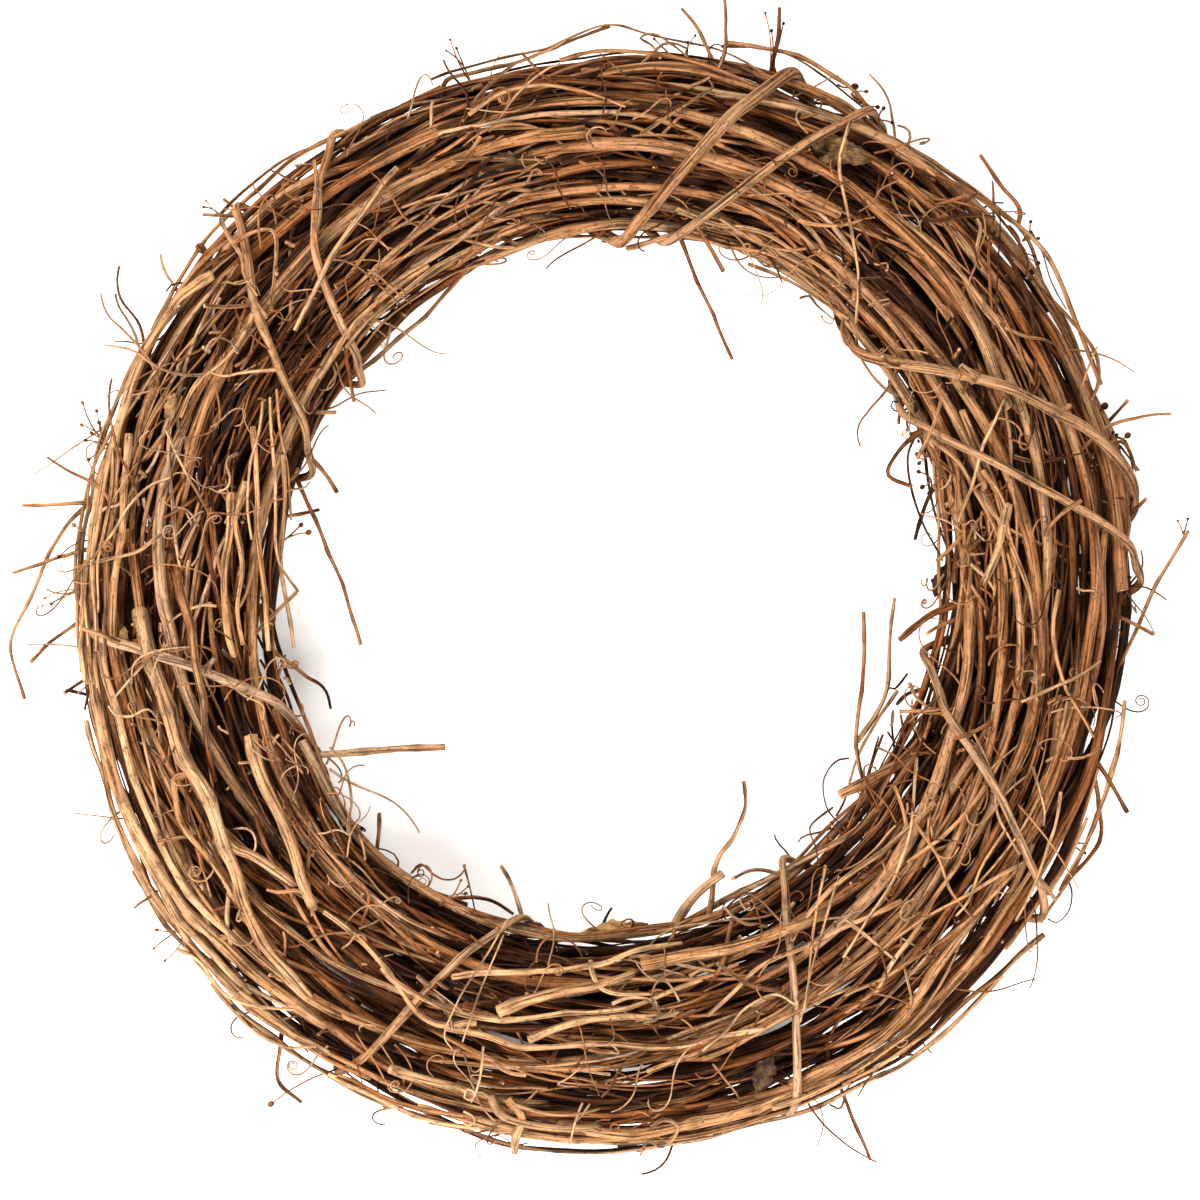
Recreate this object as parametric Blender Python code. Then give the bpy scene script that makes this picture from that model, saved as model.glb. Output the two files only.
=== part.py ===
"""A grapevine wreath, lying on its back.

Dry vine canes are wound round and round into a thick ring. Binding vines spiral round the bundle
and hold it. Side shoots and tendrils are left on the canes that they grow from.

Metres, +Z up. The origin is on the resting plane, at the middle of the ring. +Y is the top of the
wreath as it hangs.
"""

import math

import bmesh
import bpy
import numpy as np

# The ring. Its outside is that of an 18 inch wreath, and the rest is in the same proportion.
OUTER_DIAMETER = 0.457
RING_RADIUS = 0.1843
HALF_WIDTH = 0.0412
HALF_HEIGHT = 0.0330
OVALNESS = (-0.0223, 0.0143)
THICKER_LEFT = -0.038
THICKER_BELOW = -0.125

# The photograph's scale: the wound ring is this many pixels across, round this pixel.
RING_PIXELS = 1095
PIXEL = OUTER_DIAMETER / RING_PIXELS
CENTRE_PIXEL = (608, 590)

# Wound canes. Each has a point at every step round the ring, and thins from butt to tip.
STEPS_PER_TURN = 28
STEP = 2 * math.pi / STEPS_PER_TURN
CANE_TURNS = 36
SHORTEST_TURNS = 1.05
LONGEST_TURNS = 1.75
BUTT_RADIUS = (0.0027, 0.0034)
TIP_SHARE = 0.62
SEED = 11

# The lane of a wound cane: how far out it lies as a share of the section, how it drifts round the
# section as it goes round the ring, and how it sways about that.
OUTMOST_LANE = 0.97
INMOST_LANE = 0.05
LANE_SPREAD = 0.80
LANE_CYCLE = 17
LANE_STRIDE = 7
LANE_CROWDING = 1.6
OUTER_LANES = 0.75
DRIFT = 0.30
SWAY = 0.45
DEPTH_SWAY = 0.18
SWAY_WAVES = (1.5, 3.5)
START_SCATTER = 0.4

# Settling, in order: rounds, stiffness of the canes, spare room, and if the bed is levelled after.
SETTLING = (
    (120, 0.04, 0.0050, False),
    (60, 0.08, 0.0002, True),
    (50, 0.03, 0.0002, True),
    (60, 0, 0.0001, False),
)
PUSH = 1.1
CROWDED_PUSH = 0.6
PULL_BACK = 0.3
PAIR_REACH = 0.75

# Points closer than this are one point, and edges sharper than this stay sharp.
WELD = 0.00001
SHARP = math.radians(50)

# Clear space between two stems that touch, the room under the canes for the binding vines, and
# how deep the vines' undersides are flattened where they lie on the table.
CLEARANCE = 0.0004
BED = 0.0064
FLATTENED = 0.0009

# Thick canes on the face: butt radius, and the pixels that each passes over.
FACE_CANES = (
    (0.0034, ((330, 185), (215, 400), (152, 560), (165, 680), (210, 780), (243, 850), (300, 965))),
    (0.0034, ((340, 1040), (480, 1085), (620, 1116), (720, 1105), (830, 1078), (900, 1010), (965, 945))),
    (0.0030, ((870, 195), (760, 122), (640, 92), (530, 96), (400, 148), (275, 235))),
    (0.0030, ((455, 965), (560, 968), (640, 962), (740, 928), (850, 855))),
    (0.0030, ((1062, 800), (1102, 680), (1105, 560), (1062, 420), (985, 290))),
    (0.0028, ((395, 290), (300, 420), (262, 560), (268, 690), (330, 830))),
)

# How a face cane dives into the bundle before and after those pixels: the angle of the dive, the
# turn and depth of its lane there, and how far it runs on inside.
DIVE = (0.5, 0.9)
DIVE_TURN = 0.4
DIVE_TURNS_AFTER = (-0.5, -1.2, -2.0)
DIVE_DEPTH = 0.75
FACE_DEPTH = 0.99
DEPTHS_AFTER = (0.75, 0.6, 0.5)
BURIED_RUN = (2.2, 4.2)
FACE_CANE_WEIGHT = 8.0

# Binding vines: radius, and the pixels that each passes over on the face.
BINDING_VINES = (
    (0.0029, ((602, 236), (640, 225), (690, 165), (735, 110), (775, 74), (803, 68))),
    (0.0021, ((655, 246), (720, 198), (790, 150), (850, 118), (885, 108))),
    (0.0025, ((894, 351), (930, 366), (962, 357), (1000, 361), (1060, 389), (1100, 427), (1127, 490))),
    (0.0018, ((900, 410), (960, 432), (1020, 475), (1075, 508), (1110, 525), (1130, 560))),
    (0.0019, ((942, 675), (985, 780), (1015, 840), (1045, 905), (1052, 930))),
    (0.0018, ((795, 866), (786, 900), (788, 960), (796, 1040), (797, 1097))),
    (0.0018, ((522, 930), (450, 920), (420, 960), (400, 1010), (372, 1062), (340, 1096))),
    (0.0024, ((70, 632), (140, 638), (215, 652), (260, 668), (305, 688), (328, 735))),
    (0.0019, ((232, 205), (240, 255), (262, 300), (282, 340), (300, 400), (306, 470))),
    (0.0019, ((345, 105), (322, 150), (300, 190), (296, 230), (310, 290), (345, 345))),
)
BINDING_STEPS = 18
BINDING_TAIL = math.radians(15)
BACK_PITCH = 0.5
VINE_TAPER = 0.85

# Drawing a stem tight: rounds for a vine and for a limb, the step, how much it straightens, and
# the most rounds of lifting it clear.
VINE_ROUNDS = 60
LIMB_ROUNDS = 40
DRAW_STEP = 0.0001
DRAW_SHARE = 0.2
LIFT_ROUNDS = 120
REACH_MARGIN = 0.015

# Side shoots: radius, how high the tip is (0 table, 1 face), and pixels from root to tip.
SHOOTS = (
    (0.0015, 0.55, ((300, 755), (345, 752), (395, 752), (445, 747))),
    (0.0017, 0.60, ((952, 598), (925, 618), (900, 640))),
    (0.0010, 0.70, ((868, 805), (856, 770), (858, 700), (866, 655), (862, 612))),
    (0.0010, 0.50, ((870, 745), (885, 700), (896, 598))),
    (0.0011, 0.70, ((700, 895), (720, 850), (748, 820), (743, 780))),
    (0.0023, 0.75, ((915, 762), (875, 776), (838, 793))),
    (0.0020, 0.60, ((680, 905), (704, 880), (722, 873))),
    (0.0009, 0.55, ((678, 232), (710, 310), (733, 358))),
    (0.0009, 0.45, ((298, 485), (325, 545), (345, 600), (359, 645))),
    (0.0009, 0.40, ((345, 388), (385, 345), (425, 310), (470, 262))),
    (0.0009, 0.70, ((925, 430), (893, 452), (883, 478), (912, 487))),
    (0.0009, 0.50, ((90, 545), (55, 560), (10, 573))),
    (0.0009, 0.60, ((92, 480), (55, 503), (22, 505))),
    (0.0009, 0.35, ((88, 500), (60, 520), (30, 590), (3, 645), (18, 700))),
    (0.0009, 0.50, ((440, 95), (430, 72), (510, 60), (545, 45), (610, 22))),
    (0.0009, 0.55, ((735, 90), (720, 70), (705, 35), (682, 5))),
    (0.0011, 0.65, ((795, 88), (785, 60), (778, 40), (780, 6))),
    (0.0010, 0.60, ((880, 110), (855, 83), (790, 50), (725, 40))),
    (0.0011, 0.75, ((890, 165), (940, 178), (1000, 210), (1032, 235), (1072, 310), (1100, 385))),
    (0.0009, 0.70, ((1010, 235), (1030, 222), (980, 155))),
    (0.0009, 0.45, ((1115, 690), (1135, 640), (1150, 600), (1193, 530))),
    (0.0009, 0.40, ((1105, 770), (1110, 820), (1105, 850), (1070, 885))),
    (0.0009, 0.45, ((835, 1075), (852, 1110), (872, 1163))),
    (0.0013, 0.40, ((512, 1105), (516, 1125), (513, 1150))),
    (0.0009, 0.50, ((1095, 460), (1120, 440), (1140, 470))),
    (0.0009, 0.50, ((250, 215), (228, 208), (200, 212))),
    (0.0009, 0.45, ((255, 1050), (275, 1085), (300, 1105))),
    (0.0013, 0.85, ((1022, 402), (1033, 388), (1038, 370))),
)
SHOOT_RUN = 0.014
SHOOT_TAPER = 0.8
SHOOT_ROUNDS = 60
SHOOT_MOVES = 0.010
ROOT_SEARCH = 0.025
ROOT_SHARES = (0.2, 0.8)

# The second limb of the forked cane, laid over the face from the fork.
LIMBS = (
    (0.0024, ((243, 850), (272, 858), (300, 882), (350, 925), (400, 962))),
    (0.0020, ((152, 560), (190, 600), (205, 660), (215, 720), (228, 775))),
)

# Small tendrils, left wherever there is room on the outside of the bundle.
TENDRILS = 44
TENDRIL_TRIES = 2000
TENDRIL_RADIUS = 0.0008
TENDRIL_LENGTH = (0.014, 0.030)
TENDRIL_LEAN = (0.3, 0.9)
TENDRIL_CURL = (0.2, 0.8)
TENDRIL_ROUNDS = 30
TENDRIL_MOVES = 0.005
OUTSIDE_SHARE = 0.75
LOWEST_TENDRIL = -0.4


def ring_radius(angle):
    """The radius of the bundle's middle line, slightly oval."""
    bulge = OVALNESS[0] * np.cos(2 * angle) + OVALNESS[1] * np.sin(2 * angle)
    return RING_RADIUS * (1 + bulge)


def half_size(angle):
    """Half the width and half the height of the bundle's section at that angle."""
    share = 1 + THICKER_LEFT * np.cos(angle) + THICKER_BELOW * np.sin(angle)
    return np.stack([HALF_WIDTH * share, HALF_HEIGHT * share], axis=-1)


def to_world(angle, place):
    """A place in the section at that angle, (across, up), as a point of the model."""
    radius = ring_radius(angle) + place[..., 0]
    height = BED + BUTT_RADIUS[0] + half_size(angle)[..., 1] + place[..., 1]
    return np.stack([radius * np.cos(angle), radius * np.sin(angle), height], axis=-1)


def from_pixels(pixels):
    """The angle round the ring, and the distance across the band, of pixels of the photograph."""
    points = (np.array(pixels, float) - CENTRE_PIXEL) * [PIXEL, -PIXEL]
    angle = np.unwrap(np.arctan2(points[:, 1], points[:, 0]))
    return angle, np.hypot(points[:, 0], points[:, 1]) - ring_radius(angle)


class Bundle:
    """Wound canes, as places in the sections of the ring, joined by straight runs."""

    def __init__(self):
        self.angle = np.zeros(0)
        self.place = np.zeros((0, 2))
        self.radius = np.zeros(0)
        self.weight = np.zeros(0)
        self.first = [0]

    def add(self, angle, place, radius, weight):
        self.angle = np.concatenate([self.angle, angle])
        self.place = np.concatenate([self.place, place])
        self.radius = np.concatenate([self.radius, radius])
        self.weight = np.concatenate([self.weight, np.full(len(angle), weight)])
        self.first.append(len(self.angle))

    def count(self):
        return len(self.first) - 1

    def run_starts(self):
        """The first point of every straight run, and the cane that it belongs to."""
        starts = [np.arange(self.first[c], self.first[c + 1] - 1) for c in range(self.count())]
        owner = [np.full(len(s), c) for c, s in enumerate(starts)]
        return np.concatenate(starts), np.concatenate(owner)


def closest(start_a, end_a, start_b, end_b):
    """How far along two straight runs, from 0 to 1, they come closest to each other."""
    along_a = end_a - start_a
    along_b = end_b - start_b
    between = start_a - start_b
    aa = (along_a * along_a).sum(-1)
    bb = (along_b * along_b).sum(-1)
    ab = (along_a * along_b).sum(-1)
    a_between = (along_a * between).sum(-1)
    b_between = (along_b * between).sum(-1)
    spread = np.maximum(aa * bb - ab * ab, 1e-18)
    share_a = np.clip((ab * b_between - a_between * bb) / spread, 0, 1)
    share_b = np.clip((ab * share_a + b_between) / bb, 0, 1)
    share_a = np.clip((ab * share_b - a_between) / aa, 0, 1)
    return share_a, share_b


def near_pairs(bundle, points):
    """Pairs of runs that lie close together, but aren't neighbours on one cane."""
    starts, owner = bundle.run_starts()
    middle = (points[starts] + points[starts + 1]) / 2
    turned = np.mod(np.arctan2(middle[:, 1], middle[:, 0]), 2 * math.pi)
    sector = np.floor(turned / STEP).astype(int)
    first, second = [], []
    for number in range(STEPS_PER_TURN):
        here = np.nonzero(sector == number)[0]
        after = np.nonzero(sector == (number + 1) % STEPS_PER_TURN)[0]
        one, two = np.triu_indices(len(here), 1)
        grid = np.meshgrid(here, after, indexing="ij")
        first += [here[one], grid[0].ravel()]
        second += [here[two], grid[1].ravel()]
    one = np.concatenate(first)
    two = np.concatenate(second)
    neighbours = (owner[one] == owner[two]) & (np.abs(starts[one] - starts[two]) <= 1)
    apart = np.linalg.norm(bundle.place[starts[one]] - bundle.place[starts[two]], axis=1)
    keep = ~neighbours & (apart < PAIR_REACH * HALF_WIDTH)
    return starts[one[keep]], starts[two[keep]]


def settle(bundle, rounds, stiffness, spare):
    """Push canes apart where they touch, and let them straighten where they are free."""
    count = len(bundle.angle)
    radial = np.stack([np.cos(bundle.angle), np.sin(bundle.angle)], axis=1)
    inner = np.setdiff1d(np.arange(count), bundle.first[:-1] + [n - 1 for n in bundle.first[1:]])
    scale = half_size(bundle.angle)
    for number in range(rounds):
        points = to_world(bundle.angle, bundle.place)
        if number % 10 == 0:
            one, two = near_pairs(bundle, points)
        share_one, share_two = closest(points[one], points[one + 1], points[two], points[two + 1])
        at_one = points[one] + share_one[:, None] * (points[one + 1] - points[one])
        at_two = points[two] + share_two[:, None] * (points[two + 1] - points[two])
        gap = at_one - at_two
        distance = np.maximum(np.linalg.norm(gap, axis=1), 1e-6)
        reach = np.maximum(bundle.radius[one], bundle.radius[one + 1])
        reach += np.maximum(bundle.radius[two], bundle.radius[two + 1])
        lack = np.maximum(0, reach + CLEARANCE + spare - distance)
        total = bundle.weight[one] + bundle.weight[two]
        move = np.zeros((count, 2))
        hits = np.zeros(count)
        for run, share, side, other in ((one, share_one, 1, two), (two, share_two, -1, one)):
            part = bundle.weight[other] / total
            vector = gap * (side * part * lack / distance)[:, None]
            outward = (vector[:, :2] * radial[run]).sum(1)
            for end, amount in ((run, 1 - share), (run + 1, share)):
                move[:, 0] += np.bincount(end, outward * amount, count)
                move[:, 1] += np.bincount(end, vector[:, 2] * amount, count)
                hits += np.bincount(end, (lack > 0) * amount, count)
        bundle.place += PUSH * move / np.maximum(1, CROWDED_PUSH * hits)[:, None]
        height = to_world(bundle.angle, bundle.place)[:, 2] - bundle.radius
        bundle.place[:, 1] += np.maximum(0, BED - height)
        if stiffness:
            ease = (bundle.place[inner - 1] + bundle.place[inner + 1]) / 2 - bundle.place[inner]
            bundle.place[inner] += stiffness * ease
            out = np.linalg.norm(bundle.place / scale, axis=1)
            over = np.maximum(0, out - 1) / np.maximum(out, 1e-9)
            bundle.place -= PULL_BACK * bundle.place * over[:, None]


def wind(rng):
    """The canes' first places: lanes that drift across the section as they go round."""
    bundle = Bundle()
    for butt, pixels in FACE_CANES:
        add_face_cane(bundle, butt, pixels, rng)
    golden = math.pi * (3 - math.sqrt(5))
    turns_left = CANE_TURNS
    start = 0.0
    number = 0
    while turns_left > 0.5:
        turns = min(rng.uniform(SHORTEST_TURNS, LONGEST_TURNS), turns_left)
        turns_left -= turns
        way = np.arange(int(round(turns * STEPS_PER_TURN)) + 1) * STEP
        angle = start + way
        lane_share = ((number * LANE_STRIDE) % LANE_CYCLE) / LANE_CYCLE
        share = OUTMOST_LANE - LANE_SPREAD * lane_share ** LANE_CROWDING
        sway = SWAY * np.sin(rng.uniform(*SWAY_WAVES) * way + rng.uniform(0, 6.3))
        turned = number * golden + (DRIFT if share > OUTER_LANES else -DRIFT) * way + sway
        depth = share + DEPTH_SWAY * np.sin(rng.uniform(*SWAY_WAVES) * way + rng.uniform(0, 6.3))
        depth = np.clip(depth, INMOST_LANE, 1.0)[:, None]
        lane = np.stack([np.cos(turned), np.sin(turned)], axis=1)
        radius = rng.uniform(*BUTT_RADIUS) * np.linspace(1, TIP_SHARE, len(way))
        bundle.add(angle, depth * lane * half_size(angle), radius, 1.0)
        start += turns * 2 * math.pi + rng.uniform(-START_SCATTER, START_SCATTER)
        number += 1
    return bundle


def add_face_cane(bundle, butt, pixels, rng):
    """A thick cane that passes over the given pixels of the face, then dives into the bundle."""
    angle, across = from_pixels(pixels)
    if angle[0] > angle[-1]:
        angle = angle[::-1]
        across = across[::-1]
    turned = np.arccos(np.clip(across / half_size(angle)[:, 0], -0.97, 0.97))
    dive = rng.uniform(*DIVE)
    keys = np.concatenate([[angle[0] - dive], angle, angle[-1] + [dive, 2 * dive, 2 * math.pi]])
    lanes = np.concatenate([[turned[0] + DIVE_TURN], turned, turned[-1] + DIVE_TURNS_AFTER])
    depths = np.concatenate([[DIVE_DEPTH], np.full(len(angle), FACE_DEPTH), DEPTHS_AFTER])
    steps = int(round((angle[-1] - angle[0] + dive + rng.uniform(*BURIED_RUN)) / STEP))
    at = angle[0] - dive + np.arange(steps + 1) * STEP
    lane = np.interp(at, keys, lanes)
    depth = np.interp(at, keys, depths)[:, None]
    place = depth * np.stack([np.cos(lane), np.sin(lane)], axis=1) * half_size(at)
    bundle.add(at, place, butt * np.linspace(1, TIP_SHARE, len(at)), FACE_CANE_WEIGHT)


class Stem:
    """A round stem: the points of its middle line, and its radius at each."""

    def __init__(self, points, radius, sides=4):
        self.points = np.array(points, float)
        self.radius = np.broadcast_to(radius, len(self.points)).astype(float)
        self.sides = sides


class Runs:
    """Every straight run of some stems: its ends, its radius, its stem and its place there."""

    def __init__(self, stems):
        self.start = np.concatenate([s.points[:-1] for s in stems])
        self.end = np.concatenate([s.points[1:] for s in stems])
        self.radius = np.concatenate([np.maximum(s.radius[:-1], s.radius[1:]) for s in stems])
        self.stem = np.concatenate([np.full(len(s.points) - 1, n) for n, s in enumerate(stems)])
        self.number = np.concatenate([np.arange(len(s.points) - 1) for s in stems])

    def without(self, stem, number):
        """The same runs, less those of one stem that join the run with that number."""
        other = Runs.__new__(Runs)
        keep = (self.stem != stem) | (np.abs(self.number - number) > 1)
        for name in ("start", "end", "radius", "stem", "number"):
            setattr(other, name, getattr(self, name)[keep])
        return other


def near_runs(stem, runs):
    """The runs that could touch a stem: their starts, ends and radii, in rows to compare with its own."""
    near = (np.minimum(runs.start, runs.end) < stem.points.max(0) + REACH_MARGIN).all(1)
    near &= (np.maximum(runs.start, runs.end) > stem.points.min(0) - REACH_MARGIN).all(1)
    return runs.start[near][None], runs.end[near][None], runs.radius[near][None]


def measure(stem, near):
    """The room between each run of a stem and each near run, with its direction and its place."""
    start, end, radius = near
    first = stem.points[:-1, None]
    last = stem.points[1:, None]
    share, other_share = closest(first, last, start, end)
    gap = first + share[..., None] * (last - first) - start - other_share[..., None] * (end - start)
    distance = np.maximum(np.linalg.norm(gap, axis=2), 1e-6)
    own = np.maximum(stem.radius[:-1], stem.radius[1:])[:, None]
    return distance - own - radius, gap / distance[..., None], share


def bend_clear(stem, runs, free, rounds):
    """Push a stem's free points off the other stems. Returns the smallest gap that is left."""
    near = near_runs(stem, runs)
    for number in range(rounds + 1):
        room, direction, share = measure(stem, near)
        if number == rounds or room.min(initial=1) >= CLEARANCE:
            break
        lack = np.maximum(0, 1.2 * CLEARANCE - room)
        vector = direction * lack[..., None]
        move = np.zeros_like(stem.points)
        hits = np.zeros(len(move))
        for rows, amount in ((slice(0, -1), 1 - share), (slice(1, None), share)):
            move[rows] += (vector * amount[..., None]).sum(1)
            hits[rows] += (amount * (lack > 0)).sum(1)
        move *= 1.3 / np.maximum(1, 0.7 * hits)[:, None]
        stem.points = stem.points + move * free[:, None]
    return room.min(initial=1)


def inward(points):
    """The direction from each point to the middle of the bundle's section there."""
    middle = to_world(np.arctan2(points[:, 1], points[:, 0]), np.zeros((len(points), 2)))
    return (middle - points) / np.linalg.norm(middle - points, axis=1)[:, None]


def lift_clear(stem, runs, free):
    """Lift the runs of a stem that touch others straight out of the bundle, until none does."""
    near = near_runs(stem, runs)
    for _ in range(LIFT_ROUNDS):
        room = measure(stem, near)[0].min(axis=1)
        if room.min() >= CLEARANCE:
            break
        touching = room < CLEARANCE
        lifted = np.zeros(len(stem.points))
        lifted[:-1] += touching
        lifted[1:] += touching
        step = 2 * DRAW_STEP * np.minimum(lifted, 1) * free
        stem.points = stem.points - step[:, None] * inward(stem.points)


def draw_tight(stem, runs, free, rounds):
    """Draw a stem tight against the bundle: it shortens, and presses in until it meets canes."""
    lift_clear(stem, runs, free)
    for _ in range(rounds):
        move = DRAW_STEP * inward(stem.points)
        move[1:-1] += DRAW_SHARE * ((stem.points[:-2] + stem.points[2:]) / 2 - stem.points[1:-1])
        size = np.maximum(np.linalg.norm(move, axis=1), 1e-9)
        move *= (np.minimum(size, 5 * DRAW_STEP) / size)[:, None]
        stem.points = stem.points + move * free[:, None]
        bend_clear(stem, runs, free, 3)
    lift_clear(stem, runs, free)


def outline_reach(runs, angle, turned):
    """How far the bundle's outline is from the section's middle, in the direction turned."""
    facing = np.array([math.cos(angle), math.sin(angle)])
    sideways = np.array([-math.sin(angle), math.cos(angle)])
    before = runs.start[:, :2] @ sideways
    after = runs.end[:, :2] @ sideways
    crossing = (before * after < 0) & (runs.start[:, :2] @ facing > 0)
    share = (before / (before - after + 1e-12))[crossing][:, None]
    point = runs.start[crossing] + share * (runs.end[crossing] - runs.start[crossing])
    middle = to_world(np.array(angle), np.zeros(2))[2]
    place = np.stack([point[:, :2] @ facing - ring_radius(angle), point[:, 2] - middle], axis=1)
    ways = np.linspace(-math.pi, math.pi, 73)[:-1]
    normals = np.stack([np.cos(ways), np.sin(ways)], axis=1)
    support = (place @ normals.T + runs.radius[crossing][:, None]).max(0)
    along = normals @ np.array([math.cos(turned), math.sin(turned)])
    ahead = along > 0.1
    return (support[ahead] / along[ahead]).min()


def on_outline(runs, angles, turned, height):
    """Points that high above the bundle's outline, at each angle and direction."""
    out = np.array([outline_reach(runs, a, t) for a, t in zip(angles, turned)]) + height
    return to_world(angles, out[:, None] * np.stack([np.cos(turned), np.sin(turned)], axis=1))


def face_direction(angle, across):
    """The direction in the section at which the face has that distance across the band."""
    return np.arccos(np.clip(across / (1.06 * half_size(angle)[:, 0]), -0.995, 0.995))


def binding_vine(radius, pixels, canes, runs):
    """A vine lashed once round the bundle, over the given pixels, with both ends underneath."""
    angle, across = from_pixels(pixels)
    turned = face_direction(angle, across)
    if turned[0] < turned[-1]:
        angle = angle[::-1]
        turned = turned[::-1]
    pitch = BACK_PITCH * (angle[0] - angle[-1]) / (turned[0] - turned[-1])
    under = [1.5 * math.pi + BINDING_TAIL, -0.5 * math.pi - BINDING_TAIL]
    back = [angle[0] + pitch * (under[0] - turned[0]), angle[-1] + pitch * (under[1] - turned[-1])]
    turned = np.concatenate([under[:1], turned, under[1:]])[::-1]
    angle = np.concatenate([back[:1], angle, back[1:]])[::-1]
    ways = np.linspace(turned[0], turned[-1], BINDING_STEPS + 1)
    angles = np.interp(ways, turned, angle)
    points = on_outline(canes, angles, ways, radius + 3 * CLEARANCE)
    stem = Stem(points, radius * np.linspace(1, VINE_TAPER, len(ways)), sides=6)
    free = np.ones(len(ways))
    draw_tight(stem, runs, free, VINE_ROUNDS)
    lowest = np.argmin(stem.points[:, 2])
    stem.points[lowest, 2] = stem.radius[lowest] - FLATTENED
    return stem


def spaced(points, length):
    """The same path as a smooth curve, cut into equal runs of about that length."""
    way = np.concatenate([[0], np.cumsum(np.linalg.norm(np.diff(points, axis=0), axis=1))])
    fine = np.linspace(0, way[-1], 100)
    curve = np.stack([np.interp(fine, way, points[:, axis]) for axis in range(3)], axis=1)
    for _ in range(150):
        curve[1:-1] = (curve[:-2] + 2 * curve[1:-1] + curve[2:]) / 4
    count = max(2, int(round(way[-1] / length)))
    return curve[np.round(np.linspace(0, 99, count + 1)).astype(int)]


def root_places(runs, spot, height):
    """Runs that a shoot can grow from, nearest to the spot first, with the place on each."""
    along = (runs.end - runs.start)[:, :2]
    share = ((spot - runs.start[:, :2]) * along).sum(1) / (along * along).sum(1)
    share = np.clip(share, *ROOT_SHARES)
    place = runs.start + share[:, None] * (runs.end - runs.start)
    far = np.linalg.norm(place[:, :2] - spot, axis=1) + 0.4 * np.abs(place[:, 2] - height)
    order = np.argsort(far)
    return [(index, place[index]) for index in order if far[index] < ROOT_SEARCH]


def side_shoot(stems, radius, level, pixels):
    """A shoot that grows out of the nearest stem with room for it. Returns it and that stem."""
    runs = Runs(stems)
    points = (np.array(pixels, float) - CENTRE_PIXEL) * [PIXEL, -PIXEL]
    angle = math.atan2(points[0, 1], points[0, 0])
    tip_height = to_world(angle, np.array([0, (2 * level - 1) * half_size(angle)[1]]))[2]
    for index, root in root_places(runs, points[0], tip_height):
        rise = np.linspace(root[2], tip_height, len(points))
        path = np.concatenate([points, rise[:, None]], axis=1)
        path[0] = root
        stem = Stem(spaced(path, SHOOT_RUN), radius)
        stem.radius = stem.radius * np.linspace(1, SHOOT_TAPER, len(stem.points))
        free = np.concatenate([[0], np.ones(len(stem.points) - 1)])
        before = stem.points
        gap = bend_clear(stem, runs.without(runs.stem[index], runs.number[index]), free, SHOOT_ROUNDS)
        moved = np.linalg.norm(stem.points - before, axis=1).max()
        if gap >= CLEARANCE and moved < SHOOT_MOVES:
            return stem, runs.stem[index]
    return None, None


def limb(stems, radius, pixels):
    """A second limb of a forked face cane, laid over the face from the fork."""
    runs = Runs(stems)
    angle, across = from_pixels(pixels)
    points = on_outline(runs, angle, face_direction(angle, across), radius + 2 * CLEARANCE)
    places = root_places(runs, points[0, :2], points[0, 2])
    index, root = [place for place in places if runs.stem[place[0]] < len(FACE_CANES)][0]
    points[0] = root
    stem = Stem(spaced(points, SHOOT_RUN), radius)
    stem.radius = stem.radius * np.linspace(1, TIP_SHARE, len(stem.points))
    free = np.concatenate([[0], np.ones(len(stem.points) - 1)])
    others = runs.without(runs.stem[index], runs.number[index])
    draw_tight(stem, others, free, LIMB_ROUNDS)
    return stem, runs.stem[index]


def tendril(stems, runs, rng):
    """A small shoot at a random place on the outside, or nothing where there is no room."""
    index = rng.integers(len(runs.start))
    root = runs.start[index] + rng.uniform(0.25, 0.75) * (runs.end[index] - runs.start[index])
    angle = math.atan2(root[1], root[0])
    middle = to_world(angle, np.zeros(2))
    outward = root - middle
    share = np.linalg.norm(outward / [HALF_WIDTH, HALF_WIDTH, HALF_HEIGHT])
    if share < OUTSIDE_SHARE or outward[2] < LOWEST_TENDRIL * HALF_HEIGHT:
        return None, None
    outward /= np.linalg.norm(outward)
    along = np.array([-math.sin(angle), math.cos(angle), 0]) * rng.choice([-1, 1])
    side = np.cross(outward, along) * rng.choice([-1, 1])
    length = rng.uniform(*TENDRIL_LENGTH)
    lean = rng.uniform(*TENDRIL_LEAN)
    curl = rng.uniform(*TENDRIL_CURL)
    way = np.linspace(0, 1, 4)[:, None] * length
    path = root + way * (outward + lean * along) + curl * way * way / length * (side - 0.5 * outward)
    stem = Stem(path, TENDRIL_RADIUS)
    free = np.array([0, 0.5, 1, 1])
    gap = bend_clear(stem, runs.without(runs.stem[index], runs.number[index]), free, TENDRIL_ROUNDS)
    if gap < CLEARANCE or np.linalg.norm(stem.points - path, axis=1).max() > TENDRIL_MOVES:
        return None, None
    return stem, runs.stem[index]


def level_bed(bundle):
    """Shift each section up or down, so that the undermost canes lie about level all round."""
    height = to_world(bundle.angle, bundle.place)[:, 2] - bundle.radius
    turned = np.mod(bundle.angle, 2 * math.pi)
    ways = np.arange(STEPS_PER_TURN) * STEP
    lowest = np.zeros(STEPS_PER_TURN)
    for number, way in enumerate(ways):
        apart = np.abs(np.mod(turned - way + math.pi, 2 * math.pi) - math.pi)
        lowest[number] = height[apart < STEP].min()
    for _ in range(2):
        lowest = (np.roll(lowest, 1) + 2 * lowest + np.roll(lowest, -1)) / 4
    bundle.place[:, 1] -= np.interp(turned, ways, lowest, period=2 * math.pi) - BED


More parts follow.
